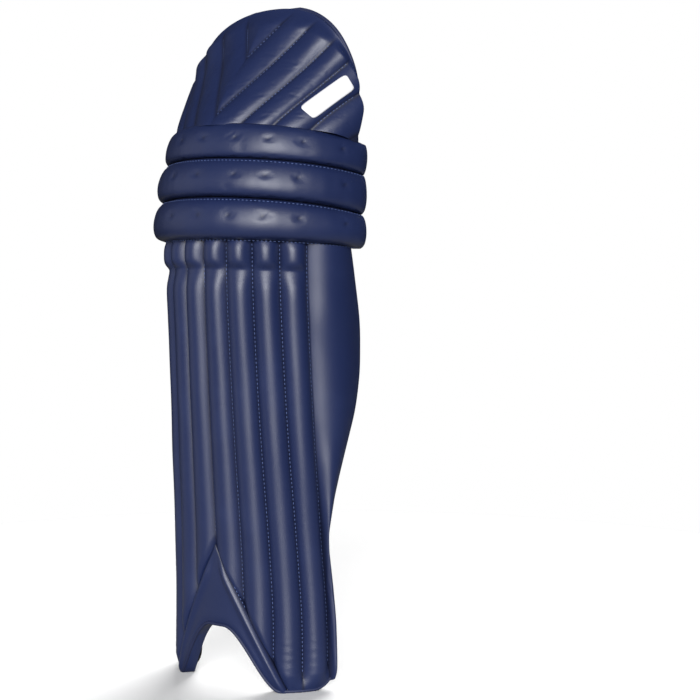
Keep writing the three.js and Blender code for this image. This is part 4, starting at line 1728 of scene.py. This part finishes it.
@dataclass
class Inside:
    """Soft linings and cushions inside the pad."""

    lining_thick: float = 2.5
    border_share: float = 0.4
    full_across: float = 14
    full_up: float = 20
    full_ends: float = 14
    rib: float = 6
    rib_fade: float = 8
    fold: float = 1.4
    fold_width: float = 2.2
    panel_thick: float = 4
    panel_lip: float = 4
    panel_lip_height: float = 25
    panel_lows: Pair = (428, 437)
    panel_ends: Pair = (-172, 168)
    panel_top_drop: float = 2
    panel_lift_run: float = 20
    panel_rows: float = 1.4
    panel_turn: float = 5
    panel_least: float = 1.2
    gather: Pair = (13, 497)
    gather_depth: float = 0.8
    gather_rays: int = 7
    gather_band: Pair = (16, 15)
    gather_stretch: float = 1.4
    tuck_depth: float = 2.2
    tuck_size: float = 6
    pleat_depth: float = 0.9
    pleat_pitch: float = 17
    pleat_from: Pair = (4, 22)
    pleat_band: Pair = (-6, 38)
    cushion_levels: Pair = (163, 425)
    bolster: Pair = (36, 112)
    cushion_ends: float = 8
    bolster_edge: float = 3
    bolster_rise: float = 13
    centre_thick: float = 4
    centre_rise: float = 3
    foot_inner: float = 33
    foot_outer: float = 121
    foot_hem: float = 5
    margin: float = 4
    side_high: float = 428
    free_across: Pair = (0.03, 0.97)
    free_up: Pair = (0.012, 0.988)

    def back(self, s: Array, z: Array, u: Array, v: Array) -> Array:
        """Back of a lining, on the padded wall."""
        return FORM.lining_back(s)

    def plain(self, s: Array, z: Array, u: Array, v: Array) -> Array:
        """Shown face of a plain lining, turned in at its border.

        Args:
            s: places round from the front line.
            z: heights.
            u: shares across.
            v: shares up.

        Returns:
            Lifts off the form.
        """
        full = hump(np.clip(u, 0, 1), self.full_across) * hump(np.clip(v, 0, 1), self.full_up)
        border = np.maximum(full, 0) ** 0.5
        soft = 0.35 * Ripple(61, 40).at(s, z)
        return FORM.lining_back(s) - self.lining_thick * mix(self.border_share, 1, border) - soft * border

    def ribbed(self, s: Array, z: Array, u: Array, v: Array) -> Array:
        """Shown face of a foot lining, ribbed like the canes.

        Args:
            s: places round from the front line.
            z: heights.
            u: shares across.
            v: shares up.

        Returns:
            Lifts off the form.
        """
        end = np.maximum(hump(np.clip(v, 0, 1), self.full_ends), 0) ** 0.5
        away = -FORM.under_instep(s, z)
        ribs = self.rib * FORM.cane_share(s) * smooth_share(away, 0, self.rib_fade)
        fold = self.fold * bump(away, self.fold_width)
        return self.plain(s, z, u, v) - (ribs - fold) * end

    def panel_low(self, s: Array) -> Array:
        """Lower edge of the knee panel.

        Args:
            s: places round from the front line.

        Returns:
            Heights.
        """
        low = mix(*self.panel_lows, (s / self.panel_ends[1]) ** 2)
        edge = FORM.side_edges[1]
        lifted = smooth_share(-s, edge - self.panel_lift_run, edge)
        return mix(low, FORM.roll_seam(3, s) + self.panel_lip, lifted)

    def knee_panel(self) -> None:
        """Builds the soft black panel behind the knee, gathered at one tuck, with a full lower lip."""

        def coords(u: Array, v: Array) -> Places:
            """Places of the panel, with close rows at its lip."""
            s = mix(*self.panel_ends, u)
            return s, mix(self.panel_low(s), FORM.roll_seam(0, s) - self.panel_top_drop, v**self.panel_rows)

        def face(s: Array, z: Array, u: Array, v: Array) -> Array:
            """Shown face: lip, upright pleats above the tuck and gathers round it.

            Args:
                s: places round from the front line.
                z: heights.
                u: shares across; not used.
                v: shares up; not used.

            Returns:
                Lifts off the form.
            """
            above = z - self.panel_low(s)
            lip = self.panel_lip * np.sqrt(np.maximum(0, 1 - above / self.panel_lip_height))
            turned = np.minimum(1, above / self.panel_turn) ** 0.5
            across = s - self.gather[0]
            up = z - self.gather[1]
            away = np.hypot(across, up * self.gather_stretch)
            rays = np.cos(self.gather_rays * np.arctan2(up, across))
            gathers = self.gather_depth * rays * bump(away - self.gather_band[0], self.gather_band[1])
            waves = self.pleat_depth * np.cos(2 * math.pi * across / self.pleat_pitch)
            middle = bump(across - self.pleat_band[0], self.pleat_band[1])
            pleats = waves * smooth_share(up, *self.pleat_from) * middle
            soft = 0.7 * Ripple(71, 55).at(s, z)
            tuck = self.tuck_depth * bump(away, self.tuck_size)
            thick = self.panel_thick + (lip + gathers + pleats + soft) * turned - tuck
            return FORM.lining_back(s) - np.maximum(thick, self.panel_least)

        sheet = Sheet("knee_panel_cover", (170, 60), FORM.leg, coords, self.back, face)
        install(sheet.build(), FINISH.black_cloth, ["knee_panel"])

    def foot_level(self, s: Array, v: Array) -> Array:
        """Heights of a foot lining from above the hem to under the cushions."""
        return mix(FORM.hem(s) + self.foot_hem, self.cushion_levels[0] - FORM.gap, v)

    def feet(self) -> None:
        """Builds the ribbed foot linings and the tongue between them."""
        for side in Side:
            name = f"foot_lining_{side.name.lower()}"

            def coords(u: Array, v: Array, sign: int = side.value) -> Places:
                """Places of one foot lining."""
                reach = mix(self.foot_inner, self.foot_outer, u if sign > 0 else 1 - u)
                return sign * reach, self.foot_level(reach, v)

            sheet = Sheet(f"{name}_cover", (66, 60), FORM.leg, coords, self.back, self.ribbed)
            install(sheet.build(), FINISH.black_knit, [name])

        def tongue(u: Array, v: Array) -> Places:
            """Places of the tongue over the arch."""
            s = mix(-1, 1, u) * (self.foot_inner - FORM.gap)
            return s, self.foot_level(s, v)

        sheet = Sheet("instep_lining_cover", (40, 40), FORM.leg, tongue, self.back, self.plain)
        install(sheet.build(), FINISH.black_knit, ["instep_lining"])

    def sides(self) -> None:
        """Builds the plain linings of the wing and of the plain side."""

        def wing(u: Array, v: Array) -> Places:
            """Places of the wing's lining."""
            z = mix(self.cushion_levels[0], self.side_high, v)
            return mix(self.bolster[1] + FORM.gap, FORM.wing_edge(z) - self.margin, u), z

        def plain_side(u: Array, v: Array) -> Places:
            """Places of the plain side's lining."""
            z = mix(self.cushion_levels[0], self.side_high, v)
            return -mix(FORM.side_edge(z) - self.margin, self.bolster[1] + FORM.gap, u), z

        for name, cells, coords in (("wing_lining", (36, 80), wing), ("side_lining", (16, 80), plain_side)):
            sheet = Sheet(f"{name}_cover", cells, FORM.leg, coords, self.back, self.plain)
            install(sheet.build(), FINISH.black_cloth, [name])

    def cushion(self, name: str, ends: Pair, edge: float, rise: float, finish: Finish, slot: Slot) -> None:
        """Builds one cushion and swells it.

        Args:
            name: the CAD node that it stands for.
            ends: its reach round the sheet.
            edge: its thickness at the border.
            rise: how far it swells.
            finish: its finish.
            slot: its record slot; not used.
        """

        def coords(u: Array, v: Array) -> Places:
            """Places of the cushion, closer towards its border."""
            across = mix(u, eased(u), 0.5)
            return mix(*ends, across), mix(*self.cushion_levels, v)

        def face(s: Array, z: Array, u: Array, v: Array) -> Array:
            """Shown face, crowned between its edges.

            Args:
                s: places round from the front line.
                z: heights.
                u: shares across.
                v: shares up.

            Returns:
                Lifts off the form.
            """
            across = mix(u, eased(u), 0.5)
            swell = np.sqrt(np.maximum(hump(across, FORM.cane_fullness) * hump(v, self.cushion_ends), 0))
            soft = 0.5 * Ripple(81, 60).at(s, z)
            return FORM.lining_back(s) - edge - (rise + soft) * swell

        sheet = Sheet(f"{name}_cover", (44, 110), FORM.leg, coords, self.back, face)
        piece = sheet.build()
        Swelling(slack=0.002).fill(piece, sheet.held(self.free_across, self.free_up, swells=0))
        install(piece, finish, [name])

    def build(self) -> None:
        """Builds the linings and cushions."""
        self.knee_panel()
        self.feet()
        self.sides()
        low, high = self.bolster
        middle = low - FORM.gap
        full = (self.bolster_edge, self.bolster_rise, FINISH.mesh, Slot.MESH)
        flat = (self.centre_thick, self.centre_rise, FINISH.white_cloth, Slot.WHITE_LINING)
        self.cushion("bolster_left", (-high, -low), *full)
        self.cushion("bolster_right", (low, high), *full)
        self.cushion("centre_panel", (-middle, middle), *flat)


@dataclass
class Ribbon:
    """Form of an upright ribbon that stands on a path in x and y."""

    path: Array
    centre_z: float
    look: float = 0.6
    reach: Array = field(init=False)

    def __post_init__(self) -> None:
        """Rounds the path's corners and measures it."""
        for _ in range(3):
            first, last = self.path[:1], self.path[-1:]
            near = self.path[:-1] * 0.75 + self.path[1:] * 0.25
            far = self.path[:-1] * 0.25 + self.path[1:] * 0.75
            cut = np.stack([near, far], 1).reshape(-1, 2)
            self.path = np.concatenate([first, cut, last])
        self.reach = path_reach(self.path)

    @property
    def length(self) -> float:
        """Length of the path."""
        return float(self.reach[-1])

    def place(self, along: Array, across: Array, lift: Array) -> Array:
        """Points of the ribbon.

        Args:
            along: distances along it.
            across: heights from its middle line.
            lift: distances off its middle.

        Returns:
            One row of x, y and z for each place.
        """
        middle, ahead, behind = (
            path_points(self.path, self.reach, along + step) for step in (0, self.look, -self.look)
        )
        run = ahead - behind
        run /= np.maximum(np.linalg.norm(run, axis=-1, keepdims=True), TINY)
        x = middle[..., 0] - run[..., 1] * lift
        y = middle[..., 1] + run[..., 0] * lift
        return np.stack([x, y, self.centre_z + across], -1)


@dataclass(frozen=True)
class StrapPlan:
    """Sizes of one strap: level, width, straight run, seat, ring, turned-back end and sewn stretches."""

    name: str
    z: float
    width: float
    y: float
    seat: float
    ring_x: float
    tail_x: float
    sewn: Pair
    anchor: Pair


@dataclass
class Straps:
    """Three straps with their rings and the loops that hold the rings."""

    plans: tuple[StrapPlan, ...] = (
        StrapPlan("top", 468, 27, 60, 8.5, -68, -10, (144, 162), (-140, -155)),
        StrapPlan("middle", 339, 50, 66, 3, -76, 92, (144, 162), (-116, -131)),
        StrapPlan("bottom", 136, 50, 37, 6.4, -58, 78, (98, 114), (-98, -112)),
    )
    anchor_in: tuple[Pair, ...] = ((-7, -9), (-4, -5.2))
    anchor_out: tuple[Pair, ...] = ((-7, 2), (-11, -4))
    bend_run: float = 10
    bend_share: float = 0.75
    thick: float = 2.5
    edge_share: float = 0.35
    edge_run: float = 1.6
    cell: float = 2.2
    layer: float = 2.9
    turn: float = 4.25
    turn_steps: int = 9
    ring_pitch: float = 13
    ring_bar: float = 4
    ring_thick: float = 3.5
    ring_clear: float = 1
    ring_dip: float = 24
    ring_round: float = 1.1

    def half_turn(self, x: float, y: float, side: int) -> Array:
        """Path half round a ring's bar, passing the side of a sign along x."""
        angle = np.linspace(-math.pi / 2, math.pi / 2, self.turn_steps)
        return np.stack([x + side * self.turn * np.cos(angle), y + self.turn * np.sin(angle)], -1)

    def inside(self, plan: StrapPlan, rounds: Sequence[float]) -> Array:
        """Path of a sewn stretch in front of its lining.

        Args:
            plan: the strap's sizes.
            rounds: its ends, as places round.

        Returns:
            Points as x and y.
        """
        s = np.array(rounds, float)
        lift = -(FORM.wall(s) + FORM.lining_gap + plan.seat + FORM.gap + self.thick / 2)
        return FORM.leg.place(s, np.full(len(s), plan.z), lift)[:, :2]

    def bar_y(self, plan: StrapPlan) -> float:
        """Depth of a ring's bars."""
        return plan.y + self.layer - self.turn

    def strap_path(self, plan: StrapPlan) -> Array:
        """Path of a strap from its sewn end, round the ring's bar and back on itself.

        Args:
            plan: the strap's sizes.

        Returns:
            Points as x and y.
        """
        sewn = self.inside(plan, plan.sewn)
        x, y = sewn[-1]
        bend = [[x - self.bend_run / 2, mix(y, plan.y, self.bend_share)], [x - self.bend_run, plan.y]]
        crossing = [[plan.ring_x + self.ring_dip, plan.y]]
        turn = self.half_turn(plan.ring_x, self.bar_y(plan), -1)
        tail = [[plan.tail_x, plan.y + self.layer]]
        return np.concatenate([sewn, bend, crossing, turn, tail])

    def anchor_path(self, plan: StrapPlan) -> Array:
        """Path of the loop that holds a ring.

        Args:
            plan: the strap's sizes.

        Returns:
            Points as x and y.
        """
        bar = np.array([plan.ring_x - self.ring_pitch, self.bar_y(plan)])
        turn = self.half_turn(bar[0], bar[1], 1)
        into = bar + np.array(self.anchor_in)
        out = bar + np.array(self.anchor_out)
        return np.concatenate([self.inside(plan, plan.anchor), into, turn, out])

    def webbing(self, name: str, path: Array, plan: StrapPlan) -> None:
        """Builds one length of webbing with rounded edges.

        Args:
            name: the piece's name.
            path: points as x and y.
            plan: the strap's sizes.
        """
        ribbon = Ribbon(path, plan.z)

        def coords(u: Array, v: Array) -> Places:
            """Places along and across the webbing."""
            return u * ribbon.length, (v - 0.5) * plan.width

        def face(along: Array, across: Array, u: Array, v: Array) -> Array:
            """Half thickness, thinner at the woven edges."""
            away = np.minimum(v, 1 - v) * plan.width
            return self.thick / 2 * mix(self.edge_share, 1, np.sqrt(np.minimum(1, away / self.edge_run)))

        def back(along: Array, across: Array, u: Array, v: Array) -> Array:
            """The other face."""
            return -face(along, across, u, v)

        cells = (int(ribbon.length / self.cell), 22)
        piece = Sheet(name, cells, ribbon, coords, face, back, sharp=40).build()
        install(piece, FINISH.webbing, [name.removesuffix("_webbing")])

    def ring(self, plan: StrapPlan) -> None:
        """Builds one flat ring: a framed plate with rounded bars.

        Args:
            plan: the strap's sizes.
        """
        centre_x = plan.ring_x - self.ring_pitch / 2
        wide = self.ring_pitch + self.ring_bar
        high = plan.width + 2 * self.ring_clear + 2 * self.ring_bar
        middle = (centre_x * MM, self.bar_y(plan) * MM, plan.z * MM)
        bpy.ops.mesh.primitive_plane_add(size=1, location=middle, rotation=(math.pi / 2, 0, 0))
        piece = bpy.context.object
        piece.name = f"{plan.name}_ring_frame"
        piece.scale = (wide * MM, high * MM, 1)
        bpy.ops.object.transform_apply(location=True, rotation=True, scale=True)
        edit_all()
        bpy.ops.mesh.inset(thickness=self.ring_bar * MM, depth=0)
        bpy.ops.mesh.delete(type="FACE")
        bpy.ops.object.mode_set(mode="OBJECT")
        solid = piece.modifiers.new("thickness", "SOLIDIFY")
        solid.thickness = self.ring_thick * MM
        solid.offset = 0
        bpy.ops.object.modifier_apply(modifier=solid.name)
        round_edges(piece, self.ring_round, 3)
        smooth_below(40)
        install(piece, FINISH.plastic, [f"{plan.name}_ring"])

    def build(self) -> None:
        """Builds the straps, rings and loops."""
        for plan in self.plans:
            self.webbing(f"{plan.name}_strap_webbing", self.strap_path(plan), plan)
            self.webbing(f"{plan.name}_anchor_webbing", self.anchor_path(plan), plan)
            self.ring(plan)


@dataclass(frozen=True)
class TabPlan:
    """Corners of one pull tab, its trim and the trim's opening, as x and z."""

    strap: int
    outline: tuple[Pair, ...]
    trim: tuple[Pair, ...]
    hole: tuple[Pair, ...]


@dataclass
class PullTabs:
    """Moulded pull tabs on the strap ends, each with a raised trim."""

    straps: Straps
    plans: tuple[TabPlan, ...] = (
        TabPlan(
            1,
            ((96, 315), (85, 352), (28, 361), (21, 351), (14, 346), (-21, 345), (-26, 339), (-34, 315)),
            ((90, 320), (83, 349), (33, 357), (20, 320)),
            ((81.5, 321.6), (76.3, 347.8), (33.9, 354.9), (22.3, 321.6)),
        ),
        TabPlan(
            2,
            ((81, 111), (72, 149), (17, 159), (7, 150), (-37, 138), (-44, 135), (-52, 111)),
            ((74, 116), (67, 144), (18, 153), (3, 116)),
            ((66, 117.6), (61.3, 142.8), (19, 150.8), (5.3, 117.6)),
        ),
    )
    thick: float = 3
    trim_thick: float = 0.8
    chamfer: float = 0.4
    rim: float = 1.3
    rim_step: float = 0.4
    corner: float = 3.6
    trim_round: float = 0.3

    def outline_face(self, name: str, corners: Sequence[tuple[float, float]], y: float) -> Object:
        """Flat face that stands upright.

        Args:
            name: the piece's name.
            corners: its corners as x and z.
            y: its place along y.

        Returns:
            The piece.
        """
        bpy.ops.mesh.primitive_circle_add(vertices=len(corners), radius=1, fill_type="NGON")
        piece = bpy.context.object
        piece.name = name
        write_points(piece, np.array([[x, y, z] for x, z in corners]) * MM)
        return piece

    def tab(self, name: str, plan: TabPlan, near: float) -> None:
        """Builds one moulded tab: rounded corners, a raised rim and soft edges.

        Args:
            name: the strap's name.
            plan: the tab's corners.
            near: its near side along y.
        """
        piece = self.outline_face(f"{name}_tab_moulding", plan.outline, near)
        edit_all()
        bpy.ops.mesh.bevel(offset=self.corner * MM, segments=4, affect="VERTICES")
        bpy.ops.mesh.select_all(action="SELECT")
        wall = self.thick - self.rim_step - self.chamfer
        bpy.ops.mesh.extrude_region_move(TRANSFORM_OT_translate={"value": (0, wall * MM, 0)})
        for inset, rise in ((self.chamfer, self.chamfer), (self.rim, 0), (self.rim_step, self.rim_step)):
            bpy.ops.mesh.inset(thickness=inset * MM, depth=0)
            bpy.ops.transform.translate(value=(0, rise * MM, 0))
        face_outwards()
        smooth_below(30)
        install(piece, FINISH.rubber, [f"{name}_tab"])

    def trim(self, name: str, plan: TabPlan, near: float) -> None:
        """Builds one raised trim: a thin frame between two outlines.

        Args:
            name: the strap's name.
            plan: the trim's corners.
            near: its near side along y.
        """
        piece = self.outline_face(f"{name}_trim_frame", plan.trim, near)
        hole = self.outline_face(f"{name}_trim_hole", plan.hole, near)
        piece.select_set(True)
        hole.select_set(True)
        bpy.context.view_layer.objects.active = piece
        bpy.ops.object.join()
        edit_all()
        bpy.ops.mesh.delete(type="ONLY_FACE")
        bpy.ops.mesh.select_all(action="SELECT")
        bpy.ops.mesh.bridge_edge_loops()
        bpy.ops.mesh.select_all(action="SELECT")
        bpy.ops.mesh.extrude_region_move(TRANSFORM_OT_translate={"value": (0, self.trim_thick * MM, 0)})
        face_outwards()
        round_edges(piece, self.trim_round, 2)
        smooth_below(35)
        install(piece, FINISH.silver, [f"{name}_trim"])

    def build(self) -> None:
        """Builds both tabs with their trims."""
        for plan in self.plans:
            strap = self.straps.plans[plan.strap]
            near = strap.y + self.straps.layer + self.straps.thick / 2 + FORM.gap
            self.tab(strap.name, plan, near)
            self.trim(strap.name, plan, near + self.thick + FORM.gap)


@dataclass
class Stitching:
    """Rows of stitches, each a small rounded thread copied along a path into one mesh."""

    name: str
    finish: Finish
    slot: Slot
    pitch: float = 4.2
    look: float = 0.5
    length: float = 2.6
    width: float = 0.7
    height: float = 0.6
    rows: list[tuple[Array, Array]] = field(default_factory=list)

    def run(self, path: Array, above: Array) -> None:
        """Adds a row of stitches.

        Args:
            path: points that the row follows.
            above: the same points, a millimetre further out of the surface.
        """
        self.rows.append((path, above - path))

    def template(self) -> tuple[Array, list[tuple[int, ...]]]:
        """One stitch, a rounded thread lying along x.

        Returns:
            Its points and faces.
        """
        lying = (0, math.pi / 2, 0)
        bpy.ops.mesh.primitive_uv_sphere_add(segments=6, ring_count=4, radius=0.5, rotation=lying)
        piece = bpy.context.object
        bpy.ops.object.transform_apply(location=True, rotation=True, scale=True)
        points = read_points(piece) * np.array([self.length, self.width, self.height])
        faces = [tuple(face.vertices) for face in piece.data.polygons]
        bpy.data.objects.remove(piece)
        return points, faces

    def build(self) -> None:
        """Copies the stitch along every row and joins the copies."""
        points, faces = self.template()
        meshes = []
        for path, above in self.rows:
            reach = path_reach(path)
            count = int(reach[-1] / self.pitch)
            if count < 1:
                continue
            spots = (np.arange(count) + 0.5) * reach[-1] / count
            middle = path_points(path, reach, spots)
            out = path_points(above, reach, spots)
            ahead = path_points(path, reach, spots + self.look)
            along = ahead - path_points(path, reach, spots - self.look)
            along /= np.linalg.norm(along, axis=1, keepdims=True)
            out -= (out * along).sum(1, keepdims=True) * along
            out /= np.linalg.norm(out, axis=1, keepdims=True)
            across = np.cross(out, along)
            turned = (
                points[None, :, 0:1] * along[:, None]
                + points[None, :, 1:2] * across[:, None]
                + points[None, :, 2:3] * out[:, None]
            )
            meshes.append((middle[:, None] + turned).reshape(-1, 3))
        every = np.concatenate(meshes) * MM
        copies = len(every) // len(points)
        mesh = bpy.data.meshes.new(self.name)
        shifted = [tuple(k + c * len(points) for k in face) for c in range(copies) for face in faces]
        mesh.from_pydata(every.tolist(), [], shifted)
        piece = bpy.data.objects.new(self.name, mesh)
        bpy.context.scene.collection.objects.link(piece)
        select_only(piece)
        bpy.ops.object.shade_smooth()
        install(piece, self.finish)


@dataclass
class Seams:
    """All the visible rows of stitches."""

    shin: ShinFace
    rolls: KneeRolls
    flap: KneeFlap
    thread: Stitching
    lift: float = 0.2
    cane_margins: Pair = (3, 2)
    roll_drop: float = 2.4
    roll_ends: Pair = (-174, 180)
    low_lift: float = 1.0
    flap_reach: float = 0.97
    flap_shares: Pair = (0.01, 0.86)
    tuck_ends: Pair = (22, 33)
    tuck_rise: float = 2.5
    tuck_lift: float = -0.5

    def leg_row(self, s: Array, z: Array, lift: Array) -> None:
        """Adds a row lying on the bent sheet."""
        self.thread.run(FORM.leg.place(s, z, lift), FORM.leg.place(s, z, lift + 1))

    def cane_rows(self) -> None:
        """Rows along the seams between the canes."""
        for k in range(-FORM.canes_each_side, FORM.canes_each_side + 1):
            s = np.full(160, k * FORM.cane_pitch)
            low = float(FORM.face_low(s[:1])[0])
            high = float(FORM.roll_seam(3, s[:1])[0])
            z = np.linspace(low + self.cane_margins[0], high - self.cane_margins[1], 160)
            self.leg_row(s, z, self.shin.valley - self.shin.hem_dip(z, low) + self.lift)

    def roll_rows(self) -> None:
        """Rows along the upper edges of the two lower rolls, and under the lowest."""
        s = np.linspace(*self.roll_ends, 240)
        for k in (1, 2):
            high = FORM.roll_seam(k, s)
            z = high - self.roll_drop
            share = (z - FORM.roll_seam(k + 1, s)) / (high - FORM.roll_seam(k + 1, s))
            bulge, _ = self.rolls.bulge(k, s, share)
            self.leg_row(s, z, self.rolls.seam_lift + bulge + self.lift)
        self.leg_row(s, FORM.roll_seam(3, s), self.rolls.seam_lift + self.low_lift)

    def flap_rows(self) -> None:
        """Rows along the flap's channel seams."""
        for level in self.flap.levels[1:-1]:
            for side in Side:
                x = side.value * np.linspace(0, self.flap_reach * FORM.flap.half, 120)
                z = level + self.flap.slope * np.abs(x)
                share = self.flap.rise(x, z)
                kept = (share > self.flap_shares[0]) & (share < self.flap_shares[1])
                if kept.sum() < 4:
                    continue
                x, z = x[kept], z[kept]
                lift = self.flap.surface(x, z) + self.lift
                self.thread.run(FORM.flap.place(x, z, lift), FORM.flap.place(x, z, lift + 1))

    def tuck_row(self) -> None:
        """Short row that closes a tuck beside the instep panel."""
        s = np.linspace(*self.tuck_ends, 12)
        self.leg_row(s, FORM.instep(s) + self.tuck_rise, self.tuck_lift)

    def build(self) -> None:
        """Builds the rows of stitches."""
        self.cane_rows()
        self.roll_rows()
        self.flap_rows()
        self.tuck_row()
        self.thread.build()


@dataclass(frozen=True)
class Light:
    """A broad soft light: where it stands, its width in degrees, its strength and if it makes highlights."""

    name: str
    azimuth: float
    elevation: float
    spread: float
    strength: float
    glossy: bool


@dataclass
class Studio:
    """Pale floor, soft lights and the camera."""

    target: tuple[float, float, float] = (0, 0, 350)
    azimuth: float = 40.73
    elevation: float = 4.35
    distance: float = 1760
    roll: float = -1.08
    focal: float = 1696
    image: float = 700
    centre: Pair = (240.5, 345.8)
    sensor: float = 36
    room_light: float = 0.03
    floor_radius: float = 1.0
    floor_bounce: float = 0.2
    lights: tuple[Light, ...] = (
        Light("key", 37, 17, 36, 4.0, True),
        Light("fill", -50, 10, 60, 0.4, True),
        Light("top", 40, 86, 140, 0.25, False),
        Light("back", 200, 40, 36, 3.5, False),
        Light("behind", 195, 0, 50, 1.9, False),
    )

    def direction(self, azimuth: float, elevation: float) -> Vector:
        """Direction from the pad.

        Args:
            azimuth: degrees from the front towards +X.
            elevation: degrees up.

        Returns:
            A vector of length 1.
        """
        a = math.radians(azimuth)
        e = math.radians(elevation)
        return Vector((math.sin(a) * math.cos(e), -math.cos(a) * math.cos(e), math.sin(e)))

    def camera(self) -> None:
        """Places the camera at the picture's viewing angle."""
        data = bpy.data.cameras.new("camera")
        data.sensor_width = self.sensor
        data.lens = self.focal * self.sensor / self.image
        data.shift_x = (self.image / 2 - self.centre[0]) / self.image
        data.shift_y = (self.centre[1] - self.image / 2) / self.image
        data.clip_end = 100
        camera = bpy.data.objects.new("camera", data)
        bpy.context.scene.collection.objects.link(camera)
        back = self.direction(self.azimuth, self.elevation)
        level = Vector((math.cos(math.radians(self.azimuth)), math.sin(math.radians(self.azimuth)), 0))
        upright = level.cross(-back)
        r = math.radians(self.roll)
        right = level * math.cos(r) + upright * math.sin(r)
        up = upright * math.cos(r) - level * math.sin(r)
        turned = Matrix((right, up, back)).transposed()
        place = Vector(self.target) * MM + back * self.distance * MM
        camera.matrix_world = Matrix.Translation(place) @ turned.to_4x4()
        bpy.context.scene.camera = camera

    def floor(self) -> None:
        """Lays a wide pale floor."""
        bpy.ops.mesh.primitive_circle_add(vertices=96, radius=self.floor_radius, fill_type="NGON")
        piece = bpy.context.object
        piece.name = "floor"
        graph = Graph("floor_paper")
        cloud = graph.noise(400.0, 2.0)
        tone = graph.blend(linear(244, 244, 244), linear(250, 250, 250), cloud)
        paper = graph.shade(Base_Color=tone, Roughness=0.9)
        self.dim(paper)
        piece.data.materials.append(paper)

    def dim(self, paper: Material) -> None:
        """Keeps the floor from shining up at the pad: only the camera sees it white.

        Args:
            paper: the floor's material.
        """
        tree = paper.node_tree
        surface = next(node for node in tree.nodes if node.type == "OUTPUT_MATERIAL").inputs["Surface"]
        shown = surface.links[0].from_socket
        faint = tree.nodes.new("ShaderNodeBsdfDiffuse")
        faint.inputs["Color"].default_value = (self.floor_bounce, self.floor_bounce, self.floor_bounce, 1)
        self.only_to_camera(tree, shown, faint.outputs[0], surface)

    def only_to_camera(
        self, tree: bpy.types.NodeTree, shown: Socket, faint: Socket, surface: Socket
    ) -> None:
        """Shows one shader to the camera and another to every other ray.

        Args:
            tree: the nodes.
            shown: the shader that the camera sees.
            faint: the shader that lights the pad.
            surface: the input that takes the two.
        """
        seen = tree.nodes.new("ShaderNodeLightPath").outputs["Is Camera Ray"]
        either = tree.nodes.new("ShaderNodeMixShader")
        for end, socket in enumerate((seen, faint, shown)):
            tree.links.new(socket, either.inputs[end])
        tree.links.new(either.outputs[0], surface)

    def shine(self, light: Light) -> None:
        """Shines one light on the pad.

        Args:
            light: the light's plan.
        """
        data = bpy.data.lights.new(light.name, "SUN")
        data.angle = math.radians(light.spread)
        data.energy = light.strength
        lamp = bpy.data.objects.new(light.name, data)
        bpy.context.scene.collection.objects.link(lamp)
        out = self.direction(light.azimuth, light.elevation)
        lamp.location = Vector(self.target) * MM + out * 3
        lamp.visible_glossy = light.glossy
        lamp.rotation_euler = out.to_track_quat("Z", "Y").to_euler()

    def world(self) -> None:
        """Surrounds the pad with a white studio that lights it faintly."""
        world = bpy.data.worlds.new("studio")
        world.use_nodes = True
        bpy.context.scene.world = world
        tree = world.node_tree
        faint = tree.nodes["Background"]
        faint.inputs["Color"].default_value = (1, 1, 1, 1)
        faint.inputs["Strength"].default_value = self.room_light
        shown = tree.nodes.new("ShaderNodeBackground")
        shown.inputs["Color"].default_value = (1, 1, 1, 1)
        surface = tree.nodes["World Output"].inputs["Surface"]
        self.only_to_camera(tree, shown.outputs[0], faint.outputs[0], surface)

    def build(self) -> None:
        """Builds the studio."""
        self.camera()
        self.floor()
        for light in self.lights:
            self.shine(light)
        self.world()
        bpy.context.scene.view_settings.view_transform = "Standard"


def main() -> None:
    """Builds the pad's pieces in order."""
    logging.basicConfig(level=logging.INFO, format="%(message)s")
    shin = ShinFace()
    rolls = KneeRolls()
    flap = KneeFlap()
    straps = Straps()
    Studio().build()
    shin.build()
    rolls.build()
    flap.build()
    Inside().build()
    straps.build()
    PullTabs(straps).build()
    thread = Stitching("cover_stitches", FINISH.thread, Slot.NAVY)
    Seams(shin, rolls, flap, thread).build()


if __name__ == "__main__":
    main()
